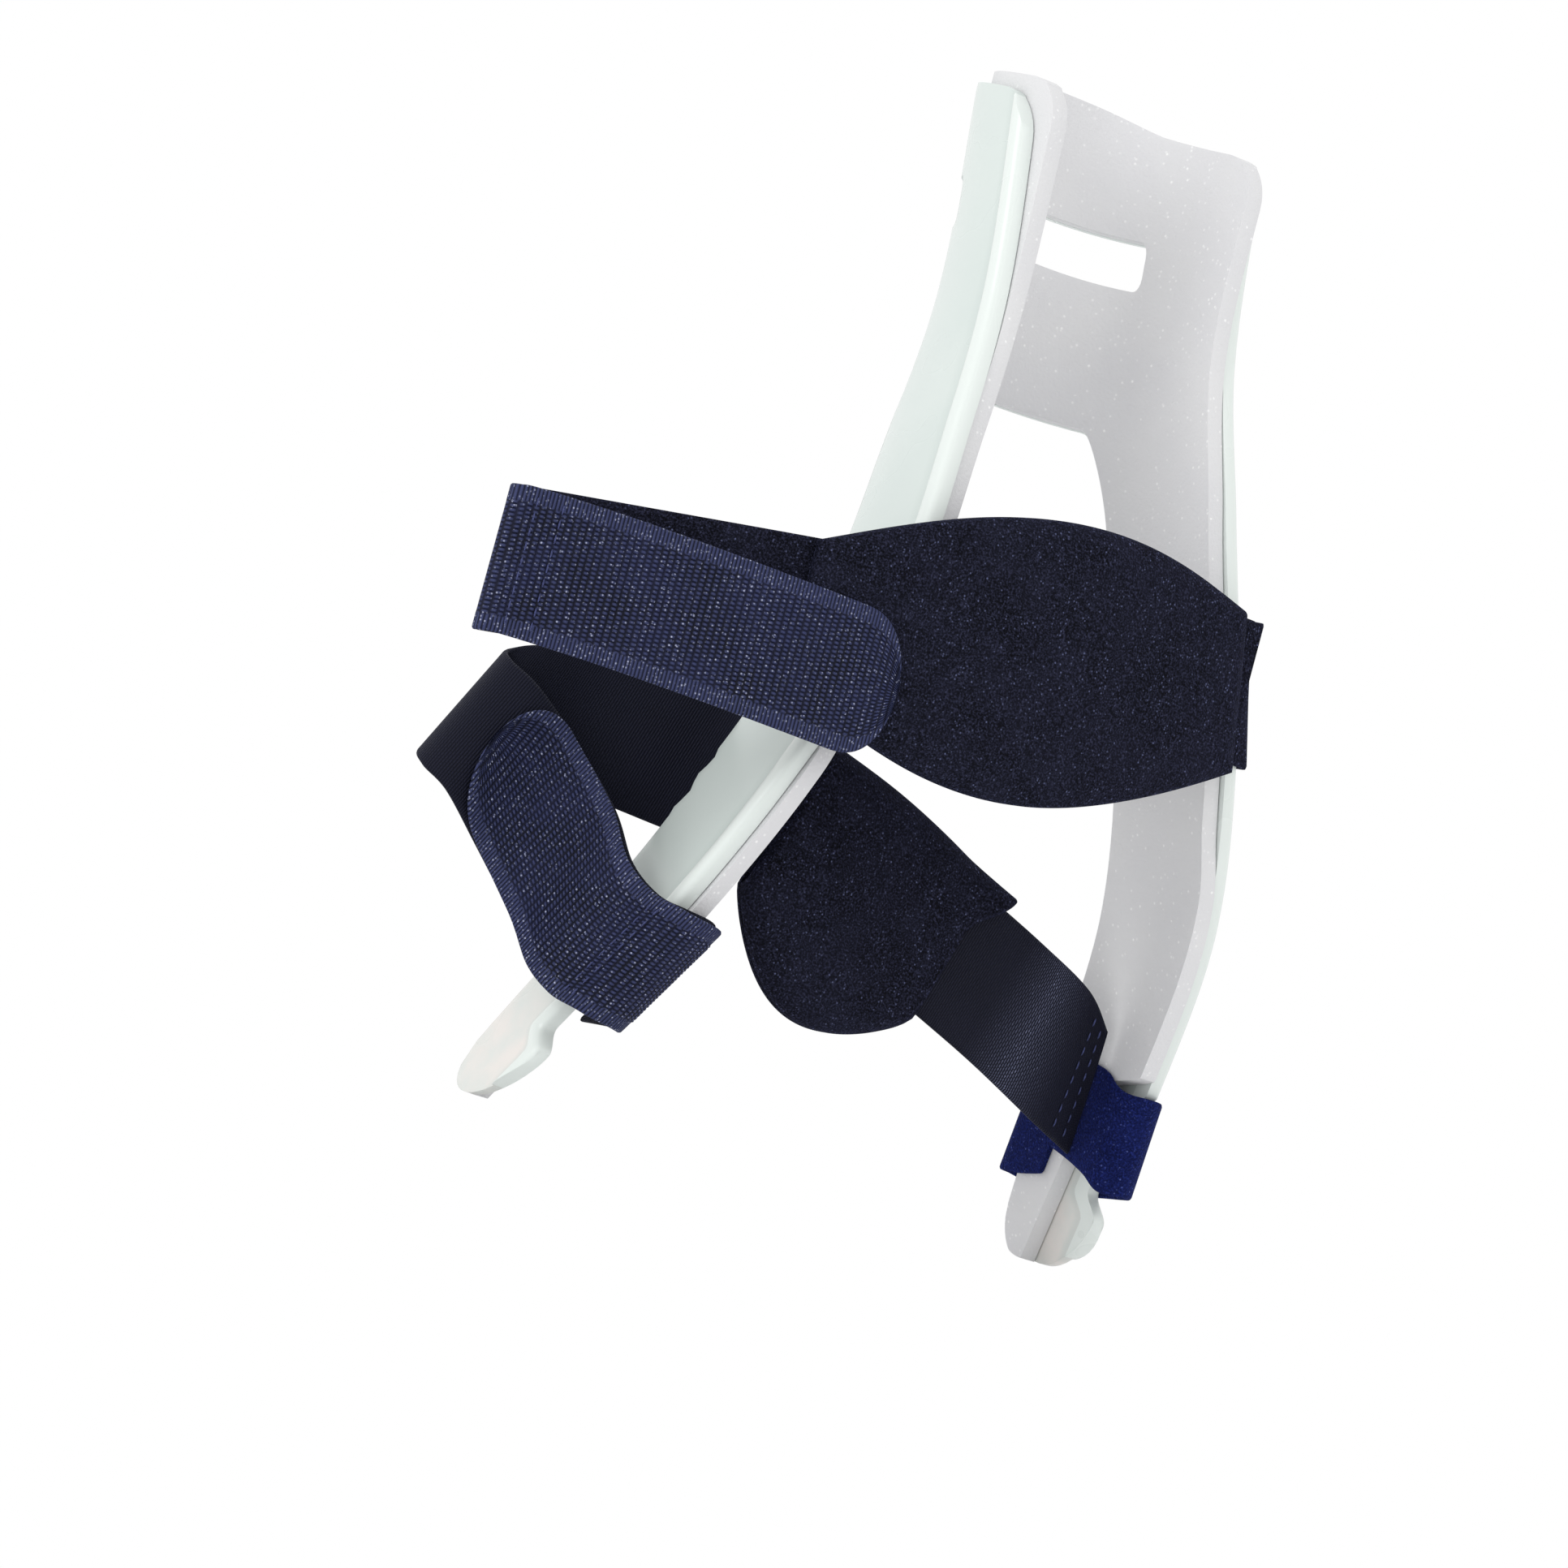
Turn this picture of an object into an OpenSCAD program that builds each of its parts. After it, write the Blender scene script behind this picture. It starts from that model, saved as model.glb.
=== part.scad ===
// Ankle foot orthosis: a moulded open frame with a foam liner, a heel strap with
// an oval pad, and an elastic foot strap with a padded sleeve.
// +Z runs up the shin, +Y points to the back of the leg, +X is the outer side.
// The origin is the middle of the padded shin seat.

/* [Frame] */
// Height of the two arms, from their tips to the lower edge of the shin plate
arm_h = 216; // [190:1:260]
// Height of the shin plate
plate_h = 77; // [66:1:95]
// Width over the arms at their tips
tip_w = 198; // [165:1:236]
// Width over the arms at the ankle
ankle_w = 115; // [100:1:138]
// Width over the shin plate
plate_w = 80; // [70:1:96]
// Depth of the shin plate, from its back edges to its front
plate_depth = 50; // [42:1:60]
// Width of an arm between the ankle and the foot
arm_w = 37; // [31:1:44]
// Wall of the moulded frame
shell_t = 3; // [2.5:0.1:3.6]
// Height of the rounded bead along the back edges
bead_h = 2; // [1.5:0.1:2.4]

/* [Liner] */
// Thickness of the foam liner
liner_t = 5; // [4:0.1:6]
// How far the liner stands above the shin plate
liner_rise = 4; // [2:0.5:6]
// How far the liner reaches past the back edge at the top of the plate
liner_over = 8; // [5:0.5:10]

/* [Strap slot and notches] */
// Height of the slot across the shin plate
slot_h = 14; // [11:0.5:17]
// Height of the slot's lower edge above the plate's lower edge
slot_up = 39; // [34:0.5:46]
// Angle of the slot's ends, seen from the middle of the leg
slot_angle = 57; // [50:1:62]
// Depth of the notch that takes the foot strap in each arm
notch_d = 8; // [6:0.5:10]
// Height of that notch
notch_h = 29; // [26:0.5:34]

/* [Heel strap] */
// Width of the heel strap and its hook tab
strap_w = 38; // [32:0.5:45]
// Thickness of strap webbing
web_t = 1.6; // [1.2:0.1:2]
// Height of the heel strap above the arm tips
heel_z = 147; // [140:1:156]
// Length of the strap beyond the outer arm
heel_free = 107; // [90:1:128]
// Length of the hook tab, from the fold to its round end
heel_tab_l = 106; // [90:1:112]
// Length of the oval heel pad
pad_l = 142; // [120:1:146]
// Height of the oval heel pad
pad_h = 75; // [63:1:90]
// Thickness of a pad's foam core
core_t = 2.4; // [2:0.1:3]
// Thickness of a pad's cloth faces
cloth_t = 1; // [0.8:0.1:1.2]

/* [Foot strap] */
// Width of the elastic foot strap
foot_w = 38; // [32:0.5:42]
// Length of the padded sleeve along the elastic
sleeve_l = 61; // [50:1:73]
// Reach of the sleeve below the elastic's centre line
sleeve_drop = 42; // [35:1:50]
// How far the elastic's loop stands out from the arm
loop_out = 62; // [52:1:74]

/* [Hidden] */

gap = 0.4;                       // clearance between pieces that lie on each other
squareness = 2.6;                // exponent of the frame's rounded-square section
top_z = arm_h + plate_h;
slot_z = arm_h + slot_up;
tip_r = 14;                      // corner radius of an arm's tip
wing_r = 11;                     // corner radius of the plate's upper back corners
crown = 9;                       // rise of the plate's upper edge at the front
fillet_h = 26;                   // height of the rounding between plate and arms
bead_w = 6;                      // width of the back-edge bead
notch_z = 20;                    // height of the notch's lower end
notch_soft = 4;                  // rounding of the notch's ends

SHELL = "#dde6e1";
FOAM = "#d9d9dc";
VELOUR = "#1c1c2c";
HOOK = "#30365e";
ELASTIC = "#16161f";
NAVY = "#1b2450";
THREAD = "#262a4a";

// ---- curves ----
function lerp(a, b, u) = a + (b - a) * u;
function clamp01(u) = min(1, max(0, u));
function ease(z, a, b) = let (u = clamp01((z - a) / (b - a))) u * u * (3 - 2 * u);
function unit(v) = v / norm(v);

// A smooth curve through stations [[z, value], ...]
function slope_at(K, i) = i == 0 ? (K[1][1] - K[0][1]) / (K[1][0] - K[0][0])
    : i == len(K) - 1 ? (K[i][1] - K[i - 1][1]) / (K[i][0] - K[i - 1][0])
    : (K[i + 1][1] - K[i - 1][1]) / (K[i + 1][0] - K[i - 1][0]);
function span_of(K, z, i = 0) = i >= len(K) - 2 || z < K[i + 1][0] ? i : span_of(K, z, i + 1);
function curve(K, z) =
    let (i = span_of(K, z), h = K[i + 1][0] - K[i][0], u = clamp01((z - K[i][0]) / h))
    (2 * u ^ 3 - 3 * u ^ 2 + 1) * K[i][1] + (u ^ 3 - 2 * u ^ 2 + u) * h * slope_at(K, i)
    + (3 * u ^ 2 - 2 * u ^ 3) * K[i + 1][1] + (u ^ 3 - u ^ 2) * h * slope_at(K, i + 1);

// A smooth route through hand-placed points, n steps to each stretch
function route_point(P, i, u) =
    let (a = P[max(0, i - 1)], b = P[i], c = P[i + 1], d = P[min(len(P) - 1, i + 2)])
    0.5 * (2 * b + (c - a) * u + (2 * a - 5 * b + 4 * c - d) * u ^ 2
           + (3 * b - a - 3 * c + d) * u ^ 3);
function route(P, n) = [for (i = [0 : len(P) - 2], k = [0 : n - 1]) route_point(P, i, k / n),
                        P[len(P) - 1]];

// ---- the frame's form ----
sole_z = 0.21 * arm_h;
heel_seat_z = 0.44 * arm_h;
ankle_z = 0.69 * arm_h;
shin_z = 0.93 * arm_h;
neck_z = arm_h + 0.31 * plate_h;
HALF = [[0, tip_w / 2], [sole_z, lerp(ankle_w, tip_w, 0.7) / 2],
        [heel_seat_z, lerp(ankle_w, tip_w, 0.4) / 2], [ankle_z, ankle_w / 2],
        [shin_z, lerp(plate_w, ankle_w, 0.37) / 2], [neck_z, plate_w / 2], [top_z, plate_w / 2]];
BACK = [[0, -40], [sole_z, -13], [heel_seat_z, 10], [ankle_z, 17], [shin_z, 8], [neck_z, -1],
        [top_z, -11]];
DEPTH = [[0, plate_depth + 90], [heel_seat_z, plate_depth + 60], [ankle_z, plate_depth + 30],
         [shin_z, plate_depth + 11], [neck_z, plate_depth + 2], [top_z, plate_depth - 2]];
REACH = [[0, arm_w - 8], [30, arm_w - 3], [heel_seat_z, arm_w + 1], [ankle_z, arm_w + 3],
         [arm_h - fillet_h, arm_w + 5], [top_z, arm_w + 5]];
function half_w(z) = curve(HALF, z);
function back_y(z) = curve(BACK, z);
function depth(z) = curve(DEPTH, z);

// A point of the section at height z, at angle t from the front, offset outwards
function section(t, off, z) =
    let (a = half_w(z), b = depth(z), s = abs(sin(t)), c = abs(cos(t)),
         g = 2 * (squareness - 1) / squareness,
         m = unit([sign(t) * s ^ g / a, -(c ^ g) / b]))
    [sign(t) * a * s ^ (2 / squareness) + off * m[0],
     back_y(z) - b * c ^ (2 / squareness) + off * m[1], z];
function angle_at(dy, z) = acos(clamp01(dy / depth(z)) ^ (squareness / 2));
// The same wall by its distance in front of the back edge
function wall(side, dy, off, z) = dy <= 0 ? [side * (half_w(z) + off), back_y(z) - dy, z]
    : section(side * angle_at(dy, z), off, z);

// ---- sheets: solids with an outer and an inner face over one grid of points ----
function quad(a, b, c, d) = [[a, b, c], [a, c, d]];
function sheet_faces(nu, nv, kept) =
    let (n = nu * nv)
    [for (i = [0 : nu - 2], j = [0 : nv - 2]) if (kept(i, j))
        let (a = i * nv + j, b = a + nv, c = b + 1, d = a + 1)
        each concat(quad(a, b, c, d), quad(n + d, n + c, n + b, n + a),
            j == 0 || !kept(i, j - 1) ? quad(b, a, n + a, n + b) : [],
            i == nu - 2 || !kept(i + 1, j) ? quad(c, b, n + b, n + c) : [],
            j == nv - 2 || !kept(i, j + 1) ? quad(d, c, n + c, n + d) : [],
            i == 0 || !kept(i - 1, j) ? quad(a, d, n + d, n + a) : [])];
module sheet(outer, inner, kept = function (i, j) true) {
    nu = len(outer);
    nv = len(outer[0]);
    polyhedron(concat([for (row = outer) each row], [for (row = inner) each row]),
               sheet_faces(nu, nv, kept));
}
seat_z = arm_h + 16;
seat_y = back_y(seat_z) - depth(seat_z) + shell_t + gap + liner_t;
module placed() { translate([0, -seat_y, -seat_z]) children(); }

// ---- frame and liner share one grid of columns and rows ----
BEAD_STEPS = [0, 0.12, 0.5, 0.88, 1];
ARM_STEPS = 5;
MID_STEPS = 12;
edge_col = len(BEAD_STEPS) - 1 + ARM_STEPS;
far_col = edge_col + MID_STEPS;
last_col = far_col + edge_col;
tip_row_z = notch_z - 3;
arm_rows = concat([for (z = [tip_row_z + 3 : 3 : notch_z + notch_h + 6]) z],
                  let (a = notch_z + notch_h + 10, b = arm_h - fillet_h, n = ceil((b - a) / 7))
                  [for (k = [0 : n]) lerp(a, b, k / n)]);
fillet_rows = [for (k = [1 : 6]) arm_h - fillet_h + fillet_h * sin(15 * k)];
plate_rows = [for (k = [1 : 4]) lerp(arm_h, slot_z, k / 4)];
slot_rows = [for (f = [0.1, 0.3, 0.7, 0.9, 1]) slot_z + f * slot_h];
ROWS = concat(arm_rows, fillet_rows, plate_rows, slot_rows);
TIP_ROWS = 6;
TOP_ROWS = 5;
row_count = TIP_ROWS + len(ROWS) + TOP_ROWS;
plate_row = TIP_ROWS + len(arm_rows) + len(fillet_rows) - 1;
slot_row = plate_row + len(plate_rows);
top_row = slot_row + len(slot_rows);

notch_lo = notch_z - notch_soft;
notch_hi = notch_z + notch_h;
// Where the back edge lies, in front of the smooth back line, for the shell and the liner
function shell_back(z) = notch_d * ease(z, notch_lo, notch_z)
    * (1 - ease(z, notch_hi - notch_soft, notch_hi));
function liner_back(z) =
    let (over = curve([[arm_h * 0.9, -3], [neck_z, 1], [top_z, liner_over]], max(z, arm_h * 0.9)))
    lerp(17, -over, ease(z, notch_hi, notch_hi + 4));
// The front edge, with shallow grip waves on the outer arm
function waves(side, z) = side < 0 ? 0
    : 1.2 * sin((z - 0.38 * arm_h) * 36) * ease(z, 0.38 * arm_h, 0.4 * arm_h)
      * (1 - ease(z, 0.47 * arm_h, 0.49 * arm_h));
function front_t(side, z) =
    let (t_arm = angle_at(curve(REACH, min(z, arm_h - fillet_h)) + waves(side, z), z),
         s = clamp01((z - arm_h + fillet_h) / fillet_h), t_in = 36)
    z <= arm_h ? lerp(t_arm, t_in, 1 - sqrt(1 - s ^ 2))
    : z < slot_z ? lerp(t_in, slot_angle - 4, ease(z, arm_h, slot_z))
    : let (r = 0.3 * slot_h, d = min(r, z - slot_z, max(0, slot_z + slot_h - z)))
      slot_angle - 4 + 4 * sqrt(1 - (1 - d / r) ^ 2);
function front_dy(side, z) = depth(z) * cos(front_t(side, z)) ^ (2 / squareness);
function col_dy(side, k, z, back) = k < len(BEAD_STEPS) ? back + bead_w * BEAD_STEPS[k]
    : lerp(back + bead_w, front_dy(side, z), (k - len(BEAD_STEPS) + 1) / ARM_STEPS);
function col_point(i, z, off, back) =
    i <= edge_col ? wall(1, col_dy(1, i, z, back), off, z)
    : i >= far_col ? wall(-1, col_dy(-1, last_col - i, z, back), off, z)
    : section(lerp(front_t(1, z), -front_t(-1, z), (i - edge_col) / MID_STEPS), off, z);
function across(i) = i <= edge_col ? i : i >= far_col ? last_col - i : edge_col;
function tip_z(i, back) =
    let (z = tip_row_z, f = clamp01(col_dy(1, across(i), z, back) / front_dy(1, z)))
    tip_r * (1 - sqrt(max(0, 1 - (2 * f - 1) ^ 2)));
function rim_round(i) =
    let (d = across(i) == edge_col ? wing_r : min(wing_r, col_dy(1, across(i), top_z, 0)))
    wing_r - sqrt(wing_r ^ 2 - (wing_r - d) ^ 2);
function mid_rise(i) = i <= edge_col ? crown * i / edge_col * 0.6
    : i >= far_col ? crown * (last_col - i) / edge_col * 0.6
    : crown * (0.6 + 0.4 * sin(180 * (i - edge_col) / MID_STEPS));
function row_z(i, j, rise, back) = j < TIP_ROWS ? lerp(tip_z(i, back), tip_row_z, j / TIP_ROWS)
    : j < TIP_ROWS + len(ROWS) ? ROWS[j - TIP_ROWS]
    : lerp(slot_z + slot_h, top_z - liner_rise + rise - rim_round(i) + mid_rise(i),
           sin(90 * (j - top_row) / TOP_ROWS));
function frame_kept(i, j) = i < edge_col || i >= far_col || (j >= plate_row && j < slot_row)
    || j >= top_row;
function bead(i) = let (k = across(i)) k >= len(BEAD_STEPS) ? 0
    : bead_h * sqrt(max(0, 1 - (2 * BEAD_STEPS[k] - 1) ^ 2));

module frame_shell() {
    function grid(inner) = [for (i = [0 : last_col]) [for (j = [0 : row_count - 1])
        let (z = row_z(i, j, 0, 0))
        col_point(i, z, inner ? -shell_t : bead(i), shell_back(z))]];
    color(SHELL) placed() sheet(grid(false), grid(true), function (i, j) frame_kept(i, j));
}

module foam_liner() {
    function grid(off) = [for (i = [0 : last_col]) [for (j = [0 : row_count - 1])
        let (z = row_z(i, j, liner_rise, liner_back(0))) col_point(i, z, off, liner_back(z))]];
    color(FOAM) placed() sheet(grid(-shell_t - gap), grid(-shell_t - gap - liner_t),
                               function (i, j) frame_kept(i, j));
}

// ---- straps: sheets between a top and a bottom edge ----
function edge_point(E, i, v) = lerp(E[0][i], E[1][i], v);
function run_dir(E, i, v) = let (n = len(E[0]) - 1)
    unit(edge_point(E, min(n, i + 1), v) - edge_point(E, max(0, i - 1), v));
function face_dir(E, i, v) = unit(cross(run_dir(E, i, v), E[0][i] - E[1][i]));
function strap_point(E, i, v, off) = edge_point(E, i, v) + off * face_dir(E, i, v);
function strap_grid(E, V, off) =
    [for (i = [0 : len(E[0]) - 1]) [for (v = V) strap_point(E, i, v, off)]];
module strap(E, mid, t, V = [0, 0.5, 1]) {
    sheet(strap_grid(E, V, mid - t / 2), strap_grid(E, V, mid + t / 2));
}
// Edges of a strap from its centre points and its unit width directions
function edges(C, W, w) = [[for (i = [0 : len(C) - 1]) C[i] + W[i] * w / 2],
                           [for (i = [0 : len(C) - 1]) C[i] - W[i] * w / 2]];
function smooth_edges(E, n) = [route(E[0], n), route(E[1], n)];
// The same edges drawn in to a round end over the last stretch
function round_end(E, r) =
    let (n = len(E[0]) - 1, tip = (E[0][n] + E[1][n]) / 2)
    [for (side = [0, 1]) [for (i = [0 : n])
        let (mid = (E[0][i] + E[1][i]) / 2, d = norm(tip - mid), k = 1 - min(1, d / r),
             half = sqrt(max(0.03, 1 - k ^ 2.6)))
        lerp(mid, E[side][i], half)]];

// Rows of short stitches across a strap at station i, on its face at offset off
stitch = [2.6, 0.5, 0.4];
module stitch_row(E, i, off, count, shift) {
    for (k = [0 : count - 1]) {
        v = (k + 1) / (count + 1);
        n = face_dir(E, i, v);
        w = unit(E[0][i] - E[1][i]);
        t = cross(w, n);
        p = strap_point(E, i, v, off) + t * shift;
        multmatrix([[w[0], t[0], n[0], p[0]], [w[1], t[1], n[1], p[1]], [w[2], t[2], n[2], p[2]],
                    [0, 0, 0, 1]]) cube(stitch, center = true);
    }
}

inside = -(shell_t + 2 * gap + liner_t + web_t / 2);
outside = bead_h + gap + web_t / 2;
between = (inside + outside) / 2;

// ---- heel strap ----
heel_y = back_y(ankle_z) + gap + web_t / 2 + 0.5;
lap = web_t + gap;
function heel_line(x) = heel_z - 0.125 * (x - 15);
far_x = -half_w(heel_line(-55));
near_x = half_w(heel_line(60) - strap_w / 2);
swing_x = far_x + 1;
free_x = near_x + heel_free - 8;
HEEL_PLAN = [[swing_x, heel_y + lap], [-20, heel_y + lap + 3], [15, heel_y + lap + 4],
             [near_x - 20, heel_y + lap + 1], [near_x + 2, heel_y + 0.6],
             [near_x + 0.25 * heel_free, heel_y - 3.5], [near_x + 0.5 * heel_free, heel_y - 11],
             [near_x + 0.75 * heel_free, heel_y - 19], [free_x, heel_y - 24]];
function upright(P, w) = [for (s = [0.5, -0.5]) [for (p = P) [p[0], p[1], heel_line(p[0]) + s * w]]];
heel_route = smooth_edges(upright(HEEL_PLAN, strap_w), 5);

// One edge of the far loop: [distance in front of the back edge, offset] around the arm
function loop_edge(up) = let (z = heel_line(far_x) + up, f = front_dy(-1, z), x = far_x)
    concat([for (s = [[18, inside - 0.8], [28, inside - 0.8], [f - 3, inside - 0.8],
                          [f + 3.5, inside + 1], [f + 6, between],
                      [f + 3.5, outside - 1], [f - 3, outside], [20, outside], [3, outside]])
                wall(-1, s[0], s[1], z)],
           [let (p = wall(-1, -0.5, outside - 1, z)) [p[0], max(p[1], heel_y - 2.4), z],
            [far_x + 3, heel_y, z], [far_x + 14, heel_y, z], [far_x + 24, heel_y + 0.5, z]]);
heel_loop_route = smooth_edges([loop_edge(strap_w / 2), loop_edge(-strap_w / 2)], 3);

module heel_strap_loop() {
    color(VELOUR) placed() strap(heel_loop_route, 0, web_t);
}
module heel_strap() {
    color(VELOUR) placed() strap(heel_route, 0, web_t);
}

// The oval pad: a lining, a foam core and a cover, laid on the back of the strap
PAD_V = [0, 0.04, 0.14, 0.32, 0.5, 0.68, 0.86, 0.96, 1];
pad_end = heel_route[0][0][0] + pad_l;
function pad_stations(inset) = [for (p = heel_route[0]) if (p[0] <= pad_end - inset
    && p[0] >= swing_x + inset) p];
function pad_half(x, up) = let (u = clamp01((x - swing_x) / pad_l), base = (strap_w - 1) / 2)
    base + (pad_h / 2 * (up > 0 ? 0.93 : 1.07) - base) * sin(180 * u);
function pad_edges(inset) = [for (up = [1, -1]) [for (p = pad_stations(inset))
    [p[0], p[1], heel_line(p[0]) + up * (pad_half(p[0], up) - inset)]]];
lining_at = web_t / 2 + gap;
core_at = lining_at + cloth_t + gap;
cover_at = core_at + core_t + gap;
// Offset of the cover, turned down along its edges to meet the lining
function turned(v, deep, high) = lerp(deep, high, clamp01(min(v, 1 - v) / 0.04) ^ 0.6);
core_inset = 5.5;
function cover_grid(E, V, deep, high) = [for (i = [0 : len(E[0]) - 1]) [for (v = V)
    strap_point(E, i, v, turned(v, deep, high))]];

module heel_pad_lining() {
    color(VELOUR) placed() strap(pad_edges(0), -lining_at - cloth_t / 2, cloth_t, PAD_V);
}
module heel_pad_core() {
    color(FOAM) placed() strap(pad_edges(core_inset), -core_at - core_t / 2, core_t, PAD_V);
}
module heel_pad_cover() {
    E = pad_edges(0);
    color(VELOUR) placed() sheet(cover_grid(E, PAD_V, -core_at - cloth_t, -cover_at - cloth_t),
                                 cover_grid(E, PAD_V, -core_at, -cover_at));
}

// The hook tab starts at the strap's fold and lies back over the pad
tab_x = free_x - heel_tab_l;
pad_face = cover_at + cloth_t + gap + web_t / 2;
fold = heel_route[0][len(heel_route[0]) - 1];
TAB_PLAN = [[free_x + 1.5, fold[1] + 0.7, 0], [free_x + 1, fold[1] + 3.6, 0],
            [free_x - 4, fold[1] + 5.6, 0.2],
            [lerp(free_x, tab_x, 0.25), fold[1] + 13.5, 3.4],
            [lerp(free_x, tab_x, 0.5), fold[1] + 22.5, 8],
            [lerp(free_x, tab_x, 0.72), heel_y + 5.6, 12.4],
            [lerp(free_x, tab_x, 0.86), heel_y + pad_face + 0.3, 15],
            [tab_x, heel_y + pad_face + 1.5, 17.5]];
tab_route = let (E = [for (s = [0.5, -0.5]) route([for (p = TAB_PLAN)
    [p[0], p[1], heel_line(p[0]) - p[2] + s * strap_w]], 6)]) round_end(E, strap_w * 0.42);
module heel_hook_tab() {
    color(HOOK) placed() strap(tab_route, 0, web_t);
}

// ---- foot strap ----
// Middle of the elastic from the far arm, along the inside of the near arm, round the loop,
// and back over the outside of the near arm to its notch
loop_x = half_w(heel_seat_z) + 0.72 * loop_out;
loop_y = back_y(heel_seat_z) - arm_w - 0.62 * loop_out;
far_z = notch_z + notch_h - 3;
grip_z = notch_z + notch_h - 8;
grip_x = half_w(grip_z);
grip_y = back_y(grip_z);
near_z = heel_seat_z + 1;
near_in = half_w(near_z) + inside - 2;
near_front = back_y(near_z) - front_dy(1, near_z);
FOOT_MID = [[-half_w(far_z) - inside + 1.9, back_y(far_z) - 14, far_z],
            [-60, -22.5, far_z + 7], [-36, -20, far_z + 16], [-11, -20.3, far_z + 25],
            [20, -20.7, far_z + 36], [46, -21, far_z + 45.2],
            [near_in - 2.5, near_front + 6, near_z], [near_in + 0.5, near_front - 13, near_z + 2],
            [near_in + 13, near_front - 23, near_z + 4], [near_in + 31, near_front - 33, near_z + 6],
            [loop_x - 6, loop_y + 1, near_z + 4.5], [loop_x + 5, loop_y, near_z + 1.5],
            [loop_x + 8, loop_y + 7, near_z - 2], [loop_x + 3, loop_y + 14, near_z - 7],
            [lerp(grip_x, loop_x, 0.75), lerp(grip_y, loop_y, 0.62), near_z - 18],
            [lerp(grip_x, loop_x, 0.5), lerp(grip_y, loop_y, 0.36), near_z - 33],
            [grip_x + 11, grip_y - 10, grip_z + 10],
            [grip_x + outside + 3, grip_y - 2, grip_z + 3.5],
            [grip_x + 1.5, grip_y + 5, grip_z + 1.5], [grip_x - 5.5, grip_y + 6, grip_z + 0.5],
            [grip_x + inside - 1.5, grip_y + 1, grip_z], [grip_x + inside - 2.5, grip_y - 8, grip_z],
            [grip_x + inside - 3, grip_y - 15, grip_z]];
rim_dir = unit([-0.28, 0.55, 0.9]);
FOOT_UP = [unit([0.24, 0.42, 0.875]), unit([-0.05, 0.2, 0.98]), unit([-0.33, 0, 0.94]),
           unit([-0.33, 0, 0.94]), unit([-0.33, 0, 0.94]), unit([-0.33, 0, 0.94]),
           unit([-0.28, 0.12, 0.95]), unit([-0.28, 0.1, 0.95]), unit([-0.28, 0.1, 0.95]),
           unit([-0.32, 0.08, 0.94]), unit([-0.42, 0, 0.9]), unit([-0.5, -0.03, 0.87]),
           unit([-0.5, -0.03, 0.87]), unit([-0.5, 0, 0.87]), unit([-0.46, 0.16, 0.87]),
           unit([-0.4, 0.35, 0.88]), rim_dir, rim_dir, rim_dir, rim_dir, rim_dir, rim_dir, rim_dir];
FOOT_STEPS = 4;
foot_route = smooth_edges(edges(FOOT_MID, FOOT_UP, foot_w), FOOT_STEPS);
module foot_strap() {
    color(ELASTIC) placed() strap(foot_route, 0, web_t);
}

// The hook tab lies on the returning strap, from the fold behind the arm to the loop's end
tab_from = 18 * FOOT_STEPS + 1;
tab_to = 13 * FOOT_STEPS;
function part_of(E, a, b) = [for (s = [0, 1]) [for (i = [a : b]) E[s][i]]];
function lifted(E, off) = [for (v = [0, 1]) [for (i = [0 : len(E[0]) - 1])
    strap_point(E, i, v, off)]];
foot_tab_route = let (E = part_of(lifted(foot_route, web_t + gap + 0.2), tab_to, tab_from),
                      R = [for (s = [0, 1]) [for (i = [len(E[0]) - 1 : -1 : 0]) E[s][i]]])
    round_end(R, foot_w * 0.42);
module foot_hook_tab() {
    color(HOOK) placed() strap(foot_tab_route, 0, web_t);
}

// The anchor loop goes round the far arm through its notch; each station gives the distance
// in front of the back edge and the height for both edges, and the offset they share
far_front = front_dy(-1, far_z);
ANCHOR = [[11, far_z + 13, 13, far_z - 17, inside], [5, far_z + 6, 4, far_z - 21, inside],
          [0, notch_hi - 1, -3, notch_z + 1.5, inside + 1], [-3, notch_hi - 1, -7, notch_z + 1.5, between],
          [0, notch_hi - 1, -3, notch_z + 1.5, outside - 1], [8, notch_hi - 2, 6, notch_z + 1, outside],
          [22, notch_hi - 4, 20, notch_z, outside],
          [far_front - 2, notch_hi - 6, far_front - 4, notch_z, outside],
          [far_front + 5, notch_hi - 7, far_front + 4, notch_z + 1, outside - 2],
          [far_front + 8, notch_hi - 7, far_front + 7, notch_z + 2, between],
          [far_front + 5, notch_hi - 6, far_front + 4, notch_z + 2, inside + 1],
          [far_front - 4, notch_hi - 4, far_front - 5, notch_z + 2, inside],
          [22, notch_hi - 2, 22, notch_z + 3, inside]];
anchor_route = smooth_edges([for (c = [0, 2]) [for (a = ANCHOR)
    wall(-1, a[c], a[4], a[c + 1])]], 3);
module foot_strap_anchor() {
    color(NAVY) placed() strap(anchor_route, 0, web_t);
}

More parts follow.
